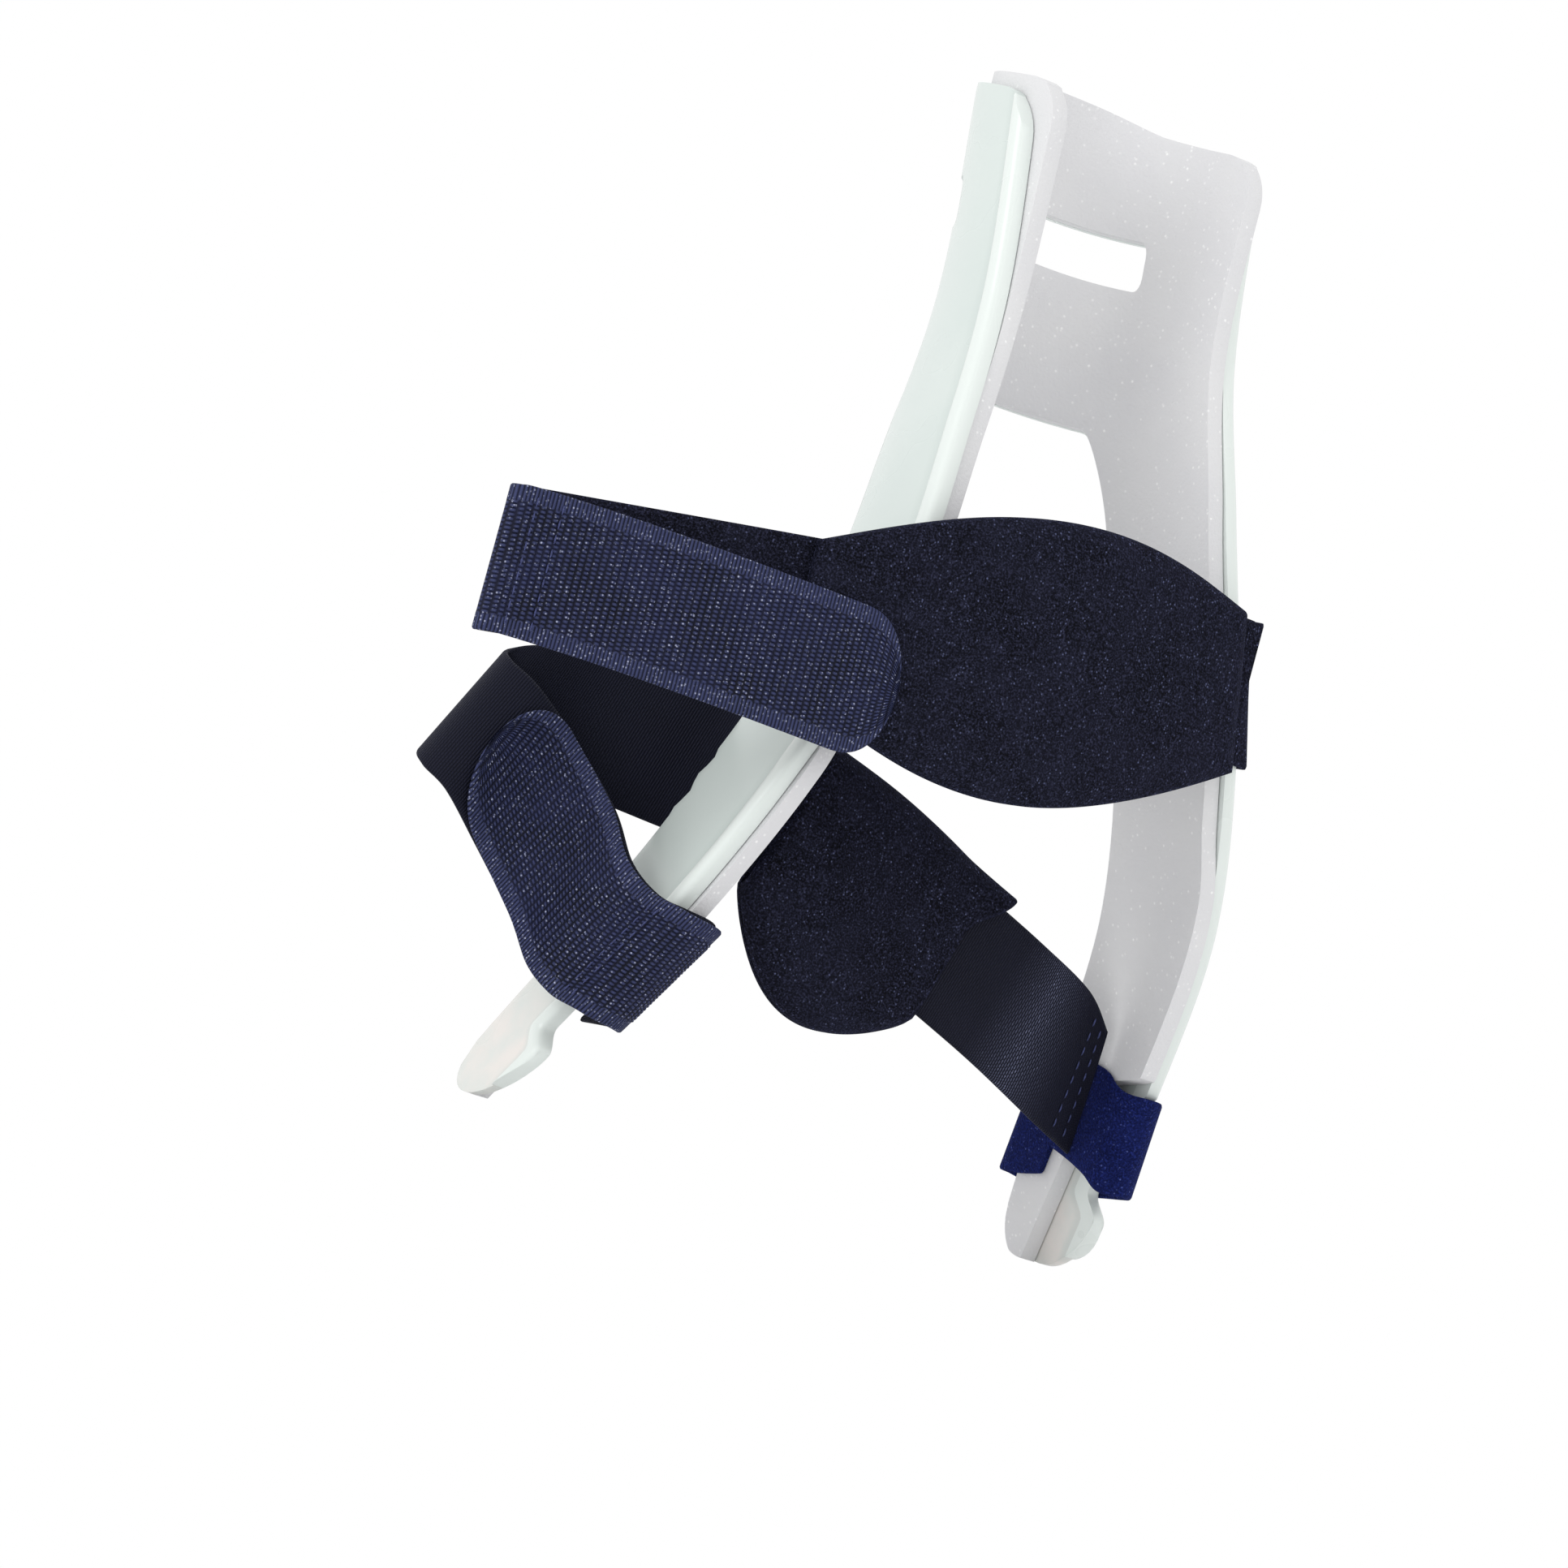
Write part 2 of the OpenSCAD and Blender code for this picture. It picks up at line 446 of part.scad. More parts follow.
// The padded sleeve round the middle of the elastic
sleeve_n = 10;
function foot_station(x, s) = let (k = [for (i = [0 : 6 * FOOT_STEPS])
    if (edge_point(foot_route, i, 0.5)[0] <= x) i], i = k[len(k) - 1],
    a = edge_point(foot_route, i, 0.5)[0], b = edge_point(foot_route, i + 1, 0.5)[0])
    lerp(foot_route[s][i], foot_route[s][i + 1], (x - a) / (b - a));
sleeve_x = -13;
function sleeve_edges(inset) = [for (s = [0, 1]) [for (k = [0 : sleeve_n])
    let (u = k / sleeve_n, x = sleeve_x + inset + (sleeve_l - 2 * inset) * u,
         a = foot_station(x, 0), b = foot_station(x, 1), w = unit(a - b), m = (a + b) / 2)
    s == 0 ? m + w * (foot_w / 2 + 3.5 - inset + 2 * sin(180 * u))
           : m - w * (foot_w / 2 + 3.5 - inset + (sleeve_drop - foot_w / 2 - 3.5) * sin(180 * u) ^ 0.8)]];
SLEEVE_V = [0, 0.03, 0.12, 0.3, 0.5, 0.7, 0.88, 0.97, 1];
foot_core_at = web_t / 2 + gap;
foot_lining_at = foot_core_at + 0.2;
foot_cover_at = foot_core_at + core_t + gap;
module foot_sleeve_lining() {
    color(VELOUR) placed() strap(sleeve_edges(0), foot_lining_at + cloth_t / 2, cloth_t, SLEEVE_V);
}
module foot_sleeve_core() {
    color(FOAM) placed() strap(sleeve_edges(core_inset), -foot_core_at - core_t / 2, core_t, SLEEVE_V);
}
module foot_sleeve_cover() {
    E = sleeve_edges(0);
    near = foot_lining_at - gap;
    color(VELOUR) placed() sheet(cover_grid(E, SLEEVE_V, near - cloth_t, -foot_cover_at - cloth_t),
                                 cover_grid(E, SLEEVE_V, near, -foot_cover_at));
}

// ---- stitching ----
on_face = web_t / 2 + 0.2 + stitch[2] / 2;
module heel_loop_stitching() {
    n = len(heel_loop_route[0]) - 1;
    color(THREAD) placed() for (row = [1, 2]) stitch_row(heel_loop_route, n - row, on_face, 8, 0);
}
module heel_tab_stitching() {
    color(THREAD) placed() for (row = [8, 10]) stitch_row(tab_route, row, on_face, 9, 0);
}
module foot_anchor_stitching() {
    color(THREAD) placed() for (row = [1, 2]) stitch_row(foot_route, row, -on_face, 8, 0);
}
module foot_tab_stitching() {
    color(THREAD) placed() for (row = [3, 4]) stitch_row(foot_tab_route, row, -on_face, 8, 0);
}

frame_shell();
foam_liner();
heel_strap_loop();
heel_strap();
heel_pad_cover();
heel_pad_core();
heel_pad_lining();
heel_hook_tab();
foot_strap_anchor();
foot_strap();
foot_sleeve_cover();
foot_sleeve_core();
foot_sleeve_lining();
foot_hook_tab();
heel_loop_stitching();
heel_tab_stitching();
foot_anchor_stitching();
foot_tab_stitching();
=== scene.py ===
import math
from functools import lru_cache

import bmesh
import bpy
from mathutils import Matrix, Vector, noise


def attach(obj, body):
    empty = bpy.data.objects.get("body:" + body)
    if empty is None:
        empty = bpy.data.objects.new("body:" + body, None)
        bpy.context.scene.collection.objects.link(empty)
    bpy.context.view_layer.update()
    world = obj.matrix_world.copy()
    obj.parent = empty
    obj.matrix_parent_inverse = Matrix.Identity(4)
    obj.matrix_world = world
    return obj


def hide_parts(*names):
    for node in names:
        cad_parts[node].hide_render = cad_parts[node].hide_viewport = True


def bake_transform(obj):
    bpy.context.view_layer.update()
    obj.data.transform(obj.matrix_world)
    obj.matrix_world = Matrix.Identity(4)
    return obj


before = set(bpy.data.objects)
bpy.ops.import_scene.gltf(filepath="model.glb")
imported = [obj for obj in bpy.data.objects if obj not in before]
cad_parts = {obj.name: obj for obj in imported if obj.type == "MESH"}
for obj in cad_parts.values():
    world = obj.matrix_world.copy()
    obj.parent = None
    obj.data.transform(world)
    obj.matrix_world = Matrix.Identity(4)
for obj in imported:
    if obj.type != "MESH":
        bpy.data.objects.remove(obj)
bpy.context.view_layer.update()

mm = 0.001
gap = 0.4  # clearance between pieces that lie on each other, as in the part

# small helpers; lengths are in millimetres


def lerp(a, b, u):
    return a + (b - a) * u


def clamp(u, low=0.0, high=1.0):
    return min(high, max(low, u))


def ease(z, start, end):
    u = clamp((z - start) / (end - start))
    return u * u * (3 - 2 * u)


def curveAt(stations, z):  # a smooth curve through (z, value) stations
    last = len(stations) - 2
    i = 0
    while i < last and z >= stations[i + 1][0]:
        i += 1

    def slope(k):
        a, b = max(0, k - 1), min(last + 1, k + 1)
        return (stations[b][1] - stations[a][1]) / (stations[b][0] - stations[a][0])

    step = stations[i + 1][0] - stations[i][0]
    u = clamp((z - stations[i][0]) / step)
    return ((2 * u**3 - 3 * u**2 + 1) * stations[i][1] + (u**3 - 2 * u**2 + u) * step * slope(i)
            + (3 * u**2 - 2 * u**3) * stations[i + 1][1] + (u**3 - u**2) * step * slope(i + 1))


def routeAt(points, t):  # a smooth route through points, one unit of t to each stretch
    i = int(clamp(math.floor(t), 0, len(points) - 2))
    u = t - i
    a, b, c = points[max(0, i - 1)], points[i], points[i + 1]
    d = points[min(len(points) - 1, i + 2)]
    return 0.5 * (2 * b + (c - a) * u + (2 * a - 5 * b + 4 * c - d) * u**2
                  + (3 * b - a - 3 * c + d) * u**3)


# the frame's form, in millimetres and degrees
form = {
    "armHeight": 216, "plateHeight": 77, "tipWidth": 198, "ankleWidth": 115, "plateWidth": 80,
    "plateDepth": 50, "armWidth": 37, "shellThick": 3, "beadHeight": 2, "beadWidth": 6,
    "foamThick": 5, "foamRise": 4, "foamOver": 8, "slotHeight": 14, "slotUp": 39, "slotAngle": 57,
    "notchDepth": 8, "notchHeight": 29, "notchZ": 20, "notchSoft": 4, "squareness": 2.6,
    "tipRound": 14, "wingRound": 11, "crown": 9, "fillet": 26, "archAngle": 36, "slotCorner": 4,
    "slotRound": 0.3, "foamNotch": 17, "crownSide": 0.6,
}
grip = {"deep": 1.2, "turn": 36, "low": 0.38, "high": 0.49, "fade": 0.02}  # waves of the outer arm
armHeight, plateHeight = form["armHeight"], form["plateHeight"]
topZ = armHeight + plateHeight
slotZ = armHeight + form["slotUp"]
notchLow = form["notchZ"] - form["notchSoft"]
notchHigh = form["notchZ"] + form["notchHeight"]
lowArmZ, heelSeatZ, ankleZ, archZ = (share * armHeight for share in (0.21, 0.44, 0.69, 0.93))
plateSeatZ = armHeight + 0.31 * plateHeight
halfStations = [(0, form["tipWidth"] / 2),
                (lowArmZ, lerp(form["ankleWidth"], form["tipWidth"], 0.7) / 2),
                (heelSeatZ, lerp(form["ankleWidth"], form["tipWidth"], 0.4) / 2),
                (ankleZ, form["ankleWidth"] / 2),
                (archZ, lerp(form["plateWidth"], form["ankleWidth"], 0.37) / 2),
                (plateSeatZ, form["plateWidth"] / 2), (topZ, form["plateWidth"] / 2)]
backStations = [(0, -40), (lowArmZ, -13), (heelSeatZ, 10), (ankleZ, 17), (archZ, 8),
                (plateSeatZ, -1), (topZ, -11)]
depthStations = [(z, form["plateDepth"] + more) for z, more in (
    (0, 90), (heelSeatZ, 60), (ankleZ, 30), (archZ, 11), (plateSeatZ, 2), (topZ, -2))]
reachStations = [(z, form["armWidth"] + more) for z, more in (
    (0, -8), (30, -3), (heelSeatZ, 1), (ankleZ, 3), (armHeight - form["fillet"], 5), (topZ, 5))]
foamBackStations = [(0, 1), (100, 1.5), (120, -1.5), (178, -1.5), (armHeight * 0.92, -1),
                    (plateSeatZ, 1), (topZ, form["foamOver"])]


@lru_cache(maxsize=None)
def halfWidth(z):
    return curveAt(halfStations, z)


@lru_cache(maxsize=None)
def backLine(z):
    return curveAt(backStations, z)


@lru_cache(maxsize=None)
def depthAt(z):
    return curveAt(depthStations, z)


seatZ = armHeight + 16
seatY = backLine(seatZ) - depthAt(seatZ) + form["shellThick"] + gap + form["foamThick"]


def placed(p):  # from the arm tips' frame in millimetres to the shared frame in metres
    return Vector((p[0], p[1] - seatY, p[2] - seatZ)) * mm


def section(t, off, z):
    n = form["squareness"]
    a, b = halfWidth(z), depthAt(z)
    s, c = abs(math.sin(t)), abs(math.cos(t))
    sign = (t > 0) - (t < 0)
    g = 2 * (n - 1) / n
    m = Vector((sign * s**g / a, -(c**g) / b)).normalized()
    return Vector((sign * a * s**(2 / n) + off * m[0],
                   backLine(z) - b * c**(2 / n) + off * m[1], z))


def angleAt(dy, z):
    return math.acos(clamp(dy / depthAt(z)) ** (form["squareness"] / 2))


def wall(side, dy, off, z):
    if dy <= 0:
        return Vector((side * (halfWidth(z) + off), backLine(z) - dy, z))
    return section(side * angleAt(dy, z), off, z)


@lru_cache(maxsize=None)
def frontAngle(side, z):
    low = armHeight - form["fillet"]
    start, end, fade = (grip[k] * armHeight for k in ("low", "high", "fade"))
    waves = 0 if side < 0 else (grip["deep"] * math.sin(math.radians((z - start) * grip["turn"]))
                                * ease(z, start, start + fade) * (1 - ease(z, end - fade, end)))
    onArm = angleAt(curveAt(reachStations, min(z, low)) + waves, z)
    inner, outer, corner = (math.radians(form[k]) for k in ("archAngle", "slotAngle", "slotCorner"))
    if z <= armHeight:
        s = clamp((z - low) / form["fillet"])
        return lerp(onArm, inner, 1 - math.sqrt(1 - s**2))
    if z < slotZ:
        return lerp(inner, outer - corner, ease(z, armHeight, slotZ))
    r = form["slotRound"] * form["slotHeight"]
    d = min(r, z - slotZ, max(0, slotZ + form["slotHeight"] - z))
    return outer - corner + corner * math.sqrt(max(0, 1 - (1 - d / r) ** 2))


def frontReach(side, z):
    return depthAt(z) * math.cos(frontAngle(side, z)) ** (2 / form["squareness"])


@lru_cache(maxsize=None)
def shellBack(z):
    return (form["notchDepth"] * ease(z, notchLow - 3, form["notchZ"] + 2)
            * (1 - ease(z, notchHigh - form["notchSoft"], notchHigh)))


@lru_cache(maxsize=None)
def foamBack(z):
    return lerp(form["foamNotch"], -curveAt(foamBackStations, z), ease(z, notchHigh, notchHigh + 4))


# one layout of columns and rows serves both the moulded shell and its foam
layout = {"bead": 8, "arm": 12, "mid": 40, "tip": 9, "top": 8}
edgeCol = layout["bead"] + layout["arm"]
farCol = edgeCol + layout["mid"]
lastCol = farCol + edgeCol
tipRowZ = form["notchZ"] - 3


def stepped(start, end, step):
    n = max(1, round((end - start) / step))
    return [lerp(start, end, (k + 1) / n) for k in range(n)]


# rows lie close together round the notch and the slot's corners
slotRows = (0.02, 0.06, 0.12, 0.2, 0.3, 0.43, 0.57, 0.7, 0.8, 0.88, 0.94, 0.98, 1)
rowHeights = (stepped(tipRowZ, 22, 0.7) + stepped(22, 43, 3) + stepped(43, 55, 0.75)
              + stepped(55, armHeight - form["fillet"], 2.5)
              + [armHeight - form["fillet"] + form["fillet"] * math.sin(math.radians(90 * k / 14))
                 for k in range(1, 15)])
plateRow = layout["tip"] + len(rowHeights) - 1
rowHeights += stepped(armHeight, slotZ, 3.5)
slotRow = layout["tip"] + len(rowHeights) - 1
rowHeights += [slotZ + f * form["slotHeight"] for f in slotRows]
topRow = layout["tip"] + len(rowHeights) - 1
rowCount = layout["tip"] + len(rowHeights) + layout["top"]


def backReach(side, k, z, back):  # distance in front of the back line, from the edge inwards
    if k <= layout["bead"]:
        return back + form["beadWidth"] * 0.5 * (1 - math.cos(math.pi * k / layout["bead"]))
    return lerp(back + form["beadWidth"], frontReach(side, z), (k - layout["bead"]) / layout["arm"])


def framePoint(i, z, off, back):
    if i <= edgeCol:
        return wall(1, backReach(1, i, z, back), off, z)
    if i >= farCol:
        return wall(-1, backReach(-1, lastCol - i, z, back), off, z)
    u = (i - edgeCol) / layout["mid"]
    return section(lerp(frontAngle(1, z), -frontAngle(-1, z), u), off, z)


def across(i):
    return i if i <= edgeCol else lastCol - i if i >= farCol else edgeCol


def frameRow(i, j, rise, back):  # the height of row j at column i
    if j < layout["tip"]:
        f = clamp(backReach(1, across(i), tipRowZ, back) / frontReach(1, tipRowZ))
        low = form["tipRound"] * (1 - math.sqrt(max(0, 1 - (2 * f - 1) ** 2)))
        return lerp(low, tipRowZ, j / layout["tip"])
    if j < layout["tip"] + len(rowHeights):
        return rowHeights[j - layout["tip"]]
    r = form["wingRound"]
    d = r if across(i) == edgeCol else min(r, backReach(1, across(i), topZ, 0))
    rounding = r - math.sqrt(max(0, r**2 - (r - d) ** 2))
    lift = form["crownSide"] * across(i) / edgeCol
    if edgeCol < i < farCol:
        lift = form["crownSide"] + (1 - form["crownSide"]) * math.sin(
            math.pi * (i - edgeCol) / layout["mid"])
    top = topZ - form["foamRise"] + rise - rounding + lift * form["crown"]
    return lerp(slotZ + form["slotHeight"], top,
                math.sin(math.pi / 2 * (j - topRow) / layout["top"]))


def frameKept(i, j):
    return i < edgeCol or i >= farCol or plateRow <= j < slotRow or j >= topRow


# modelling helpers


def only(obj):  # makes obj the one selected and active object
    bpy.ops.object.select_all(action="DESELECT")
    obj.select_set(True)
    bpy.context.view_layer.objects.active = obj


def applied(obj, kind, **values):
    only(obj)
    modifier = obj.modifiers.new(kind.title(), kind)
    for name, value in values.items():
        setattr(modifier, name, value)
    bpy.ops.object.modifier_apply(modifier=modifier.name)


def facedOut(obj, angle=35):
    only(obj)
    bpy.ops.object.mode_set(mode="EDIT")
    bpy.ops.mesh.select_all(action="SELECT")
    bpy.ops.mesh.normals_make_consistent(inside=False)
    bpy.ops.object.mode_set(mode="OBJECT")
    bpy.ops.object.shade_smooth_by_angle(angle=math.radians(angle))


def closedSheet(name, along, over, place, kept=None):
    # a grid is added, its openings cut out, closed to a wall, then each of its two faces is laid
    # on its own surface by place(i, j, layer)
    bpy.ops.object.select_all(action="DESELECT")
    bpy.ops.mesh.primitive_grid_add(x_subdivisions=along, y_subdivisions=over, size=1)
    obj = bpy.context.object
    obj.name = name
    obj.data.name = name
    mesh = obj.data

    def cellsOf():
        return [(round((v.co.x + 0.5) * along), round((v.co.y + 0.5) * over)) for v in mesh.vertices]

    cells = cellsOf()
    if kept:
        bpy.ops.object.mode_set(mode="EDIT")
        bm = bmesh.from_edit_mesh(mesh)
        for face in bm.faces:
            low = [min(cells[v.index][k] for v in face.verts) for k in (0, 1)]
            face.select_set(not kept(low[0], low[1]))
        bmesh.update_edit_mesh(mesh)
        bpy.ops.mesh.delete(type="FACE")
        bpy.ops.object.mode_set(mode="OBJECT")
        cells = cellsOf()
    count = len(cells)
    applied(obj, "SOLIDIFY", thickness=2 * mm, offset=-1, use_rim=True)
    for k, v in enumerate(obj.data.vertices):
        i, j = cells[k % count]
        v.co = placed(place(i, j, k // count))
    return obj


def scaleUv(obj, length, width):  # the piece's own UV map in metres, along and across
    for point in obj.data.uv_layers.active.uv:
        point.vector = (point.vector[0] * length * mm, point.vector[1] * width * mm)


def finished(obj, material, body, nodes, angle=35):
    facedOut(obj, angle)
    obj.data.materials.clear()
    obj.data.materials.append(material)
    if body:  # a piece that bends between two bodies rides on neither
        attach(obj, body)
    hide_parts(*nodes)
    print("made", obj.name, len(obj.data.polygons), "faces")
    return obj


# materials


def link(tree, value, socket):
    if isinstance(value, bpy.types.NodeSocket):
        tree.links.new(value, socket)
    else:
        socket.default_value = (*value, 1) if isinstance(value, tuple) else value  # colours are tuples


def separated(tree, kind, vector):  # the three parts of a vector or a colour
    made = tree.nodes.new(kind)
    tree.links.new(vector, made.inputs[0])
    return made.outputs


def calc(tree, operation, *values):
    made = tree.nodes.new("ShaderNodeMath")
    made.operation = operation
    for k, value in enumerate(values):
        link(tree, value, made.inputs[k])
    return made.outputs[0]


def times(tree, a, b):
    return calc(tree, "MULTIPLY", a, b)


def difference(tree, a, b):
    return calc(tree, "ABSOLUTE", calc(tree, "SUBTRACT", a, b))


def makeGroup(name, inputs, outputs, build):
    tree = bpy.data.node_groups.new(name, "ShaderNodeTree")
    for label, kind, value in inputs:
        socket = tree.interface.new_socket(name=label, in_out="INPUT", socket_type="NodeSocket" + kind)
        if value is not None:
            socket.default_value = value
    for label, kind in outputs:
        tree.interface.new_socket(name=label, in_out="OUTPUT", socket_type="NodeSocket" + kind)
    start = tree.nodes.new("NodeGroupInput")
    end = tree.nodes.new("NodeGroupOutput")
    build(tree, start.outputs, end.inputs)
    return tree


def useGroup(tree, group, **values):
    made = tree.nodes.new("ShaderNodeGroup")
    made.node_tree = group
    for label, value in values.items():
        link(tree, value, made.inputs[label])
    return made.outputs


def scaled(tree, vector, factor):
    made = tree.nodes.new("ShaderNodeVectorMath")
    made.operation = "DIVIDE"
    tree.links.new(vector, made.inputs[0])
    combine = tree.nodes.new("ShaderNodeCombineXYZ")
    for k in range(3):
        link(tree, factor, combine.inputs[k])
    tree.links.new(combine.outputs[0], made.inputs[1])
    return made.outputs[0]


def ranged(tree, value, low, high, toLow=0.0, toHigh=1.0):
    made = tree.nodes.new("ShaderNodeMapRange")
    for k, v in enumerate((value, low, high, toLow, toHigh)):
        link(tree, v, made.inputs[k])
    return made.outputs[0]


def mixed(tree, factor, a, b):
    made = tree.nodes.new("ShaderNodeMix")
    made.data_type = "RGBA"
    link(tree, factor, made.inputs[0])
    for k, value in ((6, a), (7, b)):
        link(tree, value, made.inputs[k])
    return made.outputs[2]


def sizedTexture(tree, kind, vector, size):
    made = tree.nodes.new(kind)
    tree.links.new(scaled(tree, vector, size), made.inputs["Vector"])
    made.inputs["Scale"].default_value = 1
    return made


def buildGrain(tree, given, out):
    rough = sizedTexture(tree, "ShaderNodeTexNoise", given["Vector"], given["Size"])
    tree.links.new(given["Detail"], rough.inputs["Detail"])
    tree.links.new(ranged(tree, rough.outputs["Fac"], 0.3, 0.7), out["Height"])


def buildPatches(tree, given, out):
    cloud = sizedTexture(tree, "ShaderNodeTexNoise", given["Vector"], given["Size"])
    cloud.inputs["Detail"].default_value = 3
    spread = ranged(tree, cloud.outputs["Fac"], 0.35, 0.65)
    tree.links.new(mixed(tree, times(tree, spread, given["Amount"]), given["Colour"],
                         given["Tint"]), out["Colour"])


def buildFlecks(tree, given, out):
    cell = sizedTexture(tree, "ShaderNodeTexVoronoi", given["Vector"], given["Size"])
    chance = separated(tree, "ShaderNodeSeparateColor", cell.outputs["Color"])
    lit = calc(tree, "LESS_THAN", chance[0], given["Share"])
    dot = ranged(tree, cell.outputs["Distance"], 0.1, 0.42, 1, 0)
    tree.links.new(times(tree, times(tree, dot, lit),
                        ranged(tree, chance[1], 0, 1, 0.35, 1)), out["Mask"])


def buildWeave(tree, given, out):  # staggered knots; a wide pitch across turns them into ribs
    place = separated(tree, "ShaderNodeSeparateXYZ", given["Vector"])
    x = calc(tree, "DIVIDE", place[0], given["Along"])
    y = calc(tree, "DIVIDE", place[1], given["Across"])
    odd = times(tree, calc(tree, "FLOORED_MODULO", calc(tree, "FLOOR", x), 2.0), 0.5)
    staggered = calc(tree, "FRACT", calc(tree, "ADD", y, odd))
    bumpX = calc(tree, "SINE", times(tree, calc(tree, "FRACT", x), math.pi))
    bumpY = calc(tree, "SINE", times(tree, staggered, math.pi))
    knot = times(tree, bumpX, calc(tree, "POWER", bumpY, given["Ribs"]))
    tree.links.new(knot, out["Height"])
    tree.links.new(ranged(tree, knot, 0.55, 0.95), out["Mask"])


vectorIn = ("Vector", "Vector", None)
grainGroup = makeGroup("fineGrain", [vectorIn, ("Size", "Float", 0.001),
                                     ("Detail", "Float", 3.0)],
                       [("Height", "Float")], buildGrain)
patchGroup = makeGroup("wearPatches", [vectorIn, ("Size", "Float", 0.02),
                                       ("Colour", "Color", None),
                                       ("Tint", "Color", None),
                                       ("Amount", "Float", 0.5)],
                       [("Colour", "Color")], buildPatches)
fleckGroup = makeGroup("brightFlecks", [vectorIn, ("Size", "Float", 0.001),
                                        ("Share", "Float", 0.1)],
                       [("Mask", "Float")], buildFlecks)
weaveGroup = makeGroup("tapeWeave", [vectorIn, ("Along", "Float", 0.0018),
                                     ("Across", "Float", 0.0018),
                                     ("Ribs", "Float", 1.0)],
                       [("Height", "Float"), ("Mask", "Float")], buildWeave)


def srgb(r, g, b):  # a display colour from 0 to 255 as a linear one
    return tuple(((c / 255 + 0.055) / 1.055) ** 2.4 if c > 10 else c / 255 / 12.92 for c in (r, g, b))


def newMaterial(name, **shader):
    material = bpy.data.materials.new(name)
    material.use_nodes = True
    tree = material.node_tree
    principled = tree.nodes["Principled BSDF"]
    for label, value in shader.items():
        link(tree, value, principled.inputs[label.replace("_", " ")])
    place = tree.nodes.new("ShaderNodeTexCoord")
    return material, tree, principled, place


def bumped(tree, principled, layers):  # layers of (height, strength, distance in metres)
    last = None
    for height, strength, distance in layers:
        bump = tree.nodes.new("ShaderNodeBump")
        bump.inputs["Strength"].default_value = strength
        bump.inputs["Distance"].default_value = distance
        tree.links.new(height, bump.inputs["Height"])
        if last:
            tree.links.new(last, bump.inputs["Normal"])
        last = bump.outputs[0]
    tree.links.new(last, principled.inputs["Normal"])


def mouldedPlastic():
    # the bead colour is a painted highlight along the rim's raised bead; the groove colour is painted
    # shade in the crease just inside it
    look = {"colour": srgb(219, 228, 224), "cool": srgb(210, 221, 217), "warm": srgb(238, 233, 228),
            "bead": srgb(234, 241, 237), "paintedGrooveShade": srgb(200, 211, 207), "rough": 0.3,
            "warmFrom": -0.175, "warmTo": -0.215}
    material, tree, principled, place = newMaterial(
        "mouldedPlastic", Specular_IOR_Level=0.5, Coat_Weight=0.25, Coat_Roughness=0.12, IOR=1.5)
    where = place.outputs["Object"]
    patch = useGroup(tree, patchGroup, Vector=where, Size=0.045, Colour=look["colour"],
                     Tint=look["cool"], Amount=0.55)
    height = separated(tree, "ShaderNodeSeparateXYZ", where)[2]
    low = ranged(tree, height, look["warmFrom"], look["warmTo"])
    warm = useGroup(tree, patchGroup, Vector=where, Size=0.012, Colour=look["warm"],
                    Tint=look["colour"], Amount=0.6)
    # the piece's UV counts columns of the layout
    turn = separated(tree, "ShaderNodeSeparateXYZ", place.outputs["UV"])[0]
    toMiddle = difference(tree, turn, 0.5)
    column = times(tree, calc(tree, "SUBTRACT", 0.5, toMiddle), float(lastCol))
    body = mixed(tree, low, patch["Colour"], warm["Colour"])
    beadCol = layout["bead"]
    # painted shade: a dark line in the crease just inside the bead
    paintedGrooveShade = times(tree, ranged(tree, column, beadCol + 0.5, beadCol + 1.6, 1, 0), 0.4)
    grooveShaded = mixed(tree, paintedGrooveShade, body, look["paintedGrooveShade"])
    # painted highlight: the bead's columns are painted brighter with the bead colour
    bead = ranged(tree, column, beadCol - 1.2, beadCol - 0.2, 1, 0)
    tree.links.new(mixed(tree, bead, grooveShaded, look["bead"]), principled.inputs["Base Color"])
    fine = useGroup(tree, grainGroup, Vector=where, Size=0.0011, Detail=2.0)
    scuff = useGroup(tree, grainGroup, Vector=where, Size=0.03, Detail=2.0)
    tree.links.new(ranged(tree, scuff["Height"], 0, 1, look["rough"] - 0.06, look["rough"] + 0.12),
                   principled.inputs["Roughness"])
    bumped(tree, principled, [(fine["Height"], 0.05, 0.0001)])
    return material


def closedFoam():
    look = {"colour": srgb(230, 230, 231), "shade": srgb(223, 223, 226), "spark": srgb(255, 255, 255),
            "ringPitch": 0.013, "ringAt": 0.13, "ringWide": 0.035}
    material, tree, principled, place = newMaterial(
        "closedFoam", Specular_IOR_Level=0.35, Sheen_Weight=0.12, Sheen_Roughness=0.5)
    where = place.outputs["Object"]
    patch = useGroup(tree, patchGroup, Vector=where, Size=0.03, Colour=look["colour"],
                     Tint=look["shade"], Amount=0.5)
    dots = useGroup(tree, fleckGroup, Vector=where, Size=0.0012, Share=0.12)
    tree.links.new(mixed(tree, dots["Mask"], patch["Colour"], look["spark"]),
                   principled.inputs["Base Color"])
    tree.links.new(ranged(tree, dots["Mask"], 0, 1, 0.78, 0.35), principled.inputs["Roughness"])
    cells = useGroup(tree, grainGroup, Vector=where, Size=0.0009, Detail=3.0)
    ring = sizedTexture(tree, "ShaderNodeTexVoronoi", where, look["ringPitch"])
    band = difference(tree, ring.outputs["Distance"], look["ringAt"])
    mark = ranged(tree, band, 0.0, look["ringWide"], 0, 1)
    bumped(tree, principled, [(mark, 0.25, 0.0002), (cells["Height"], 0.35, 0.0002)])
    return material


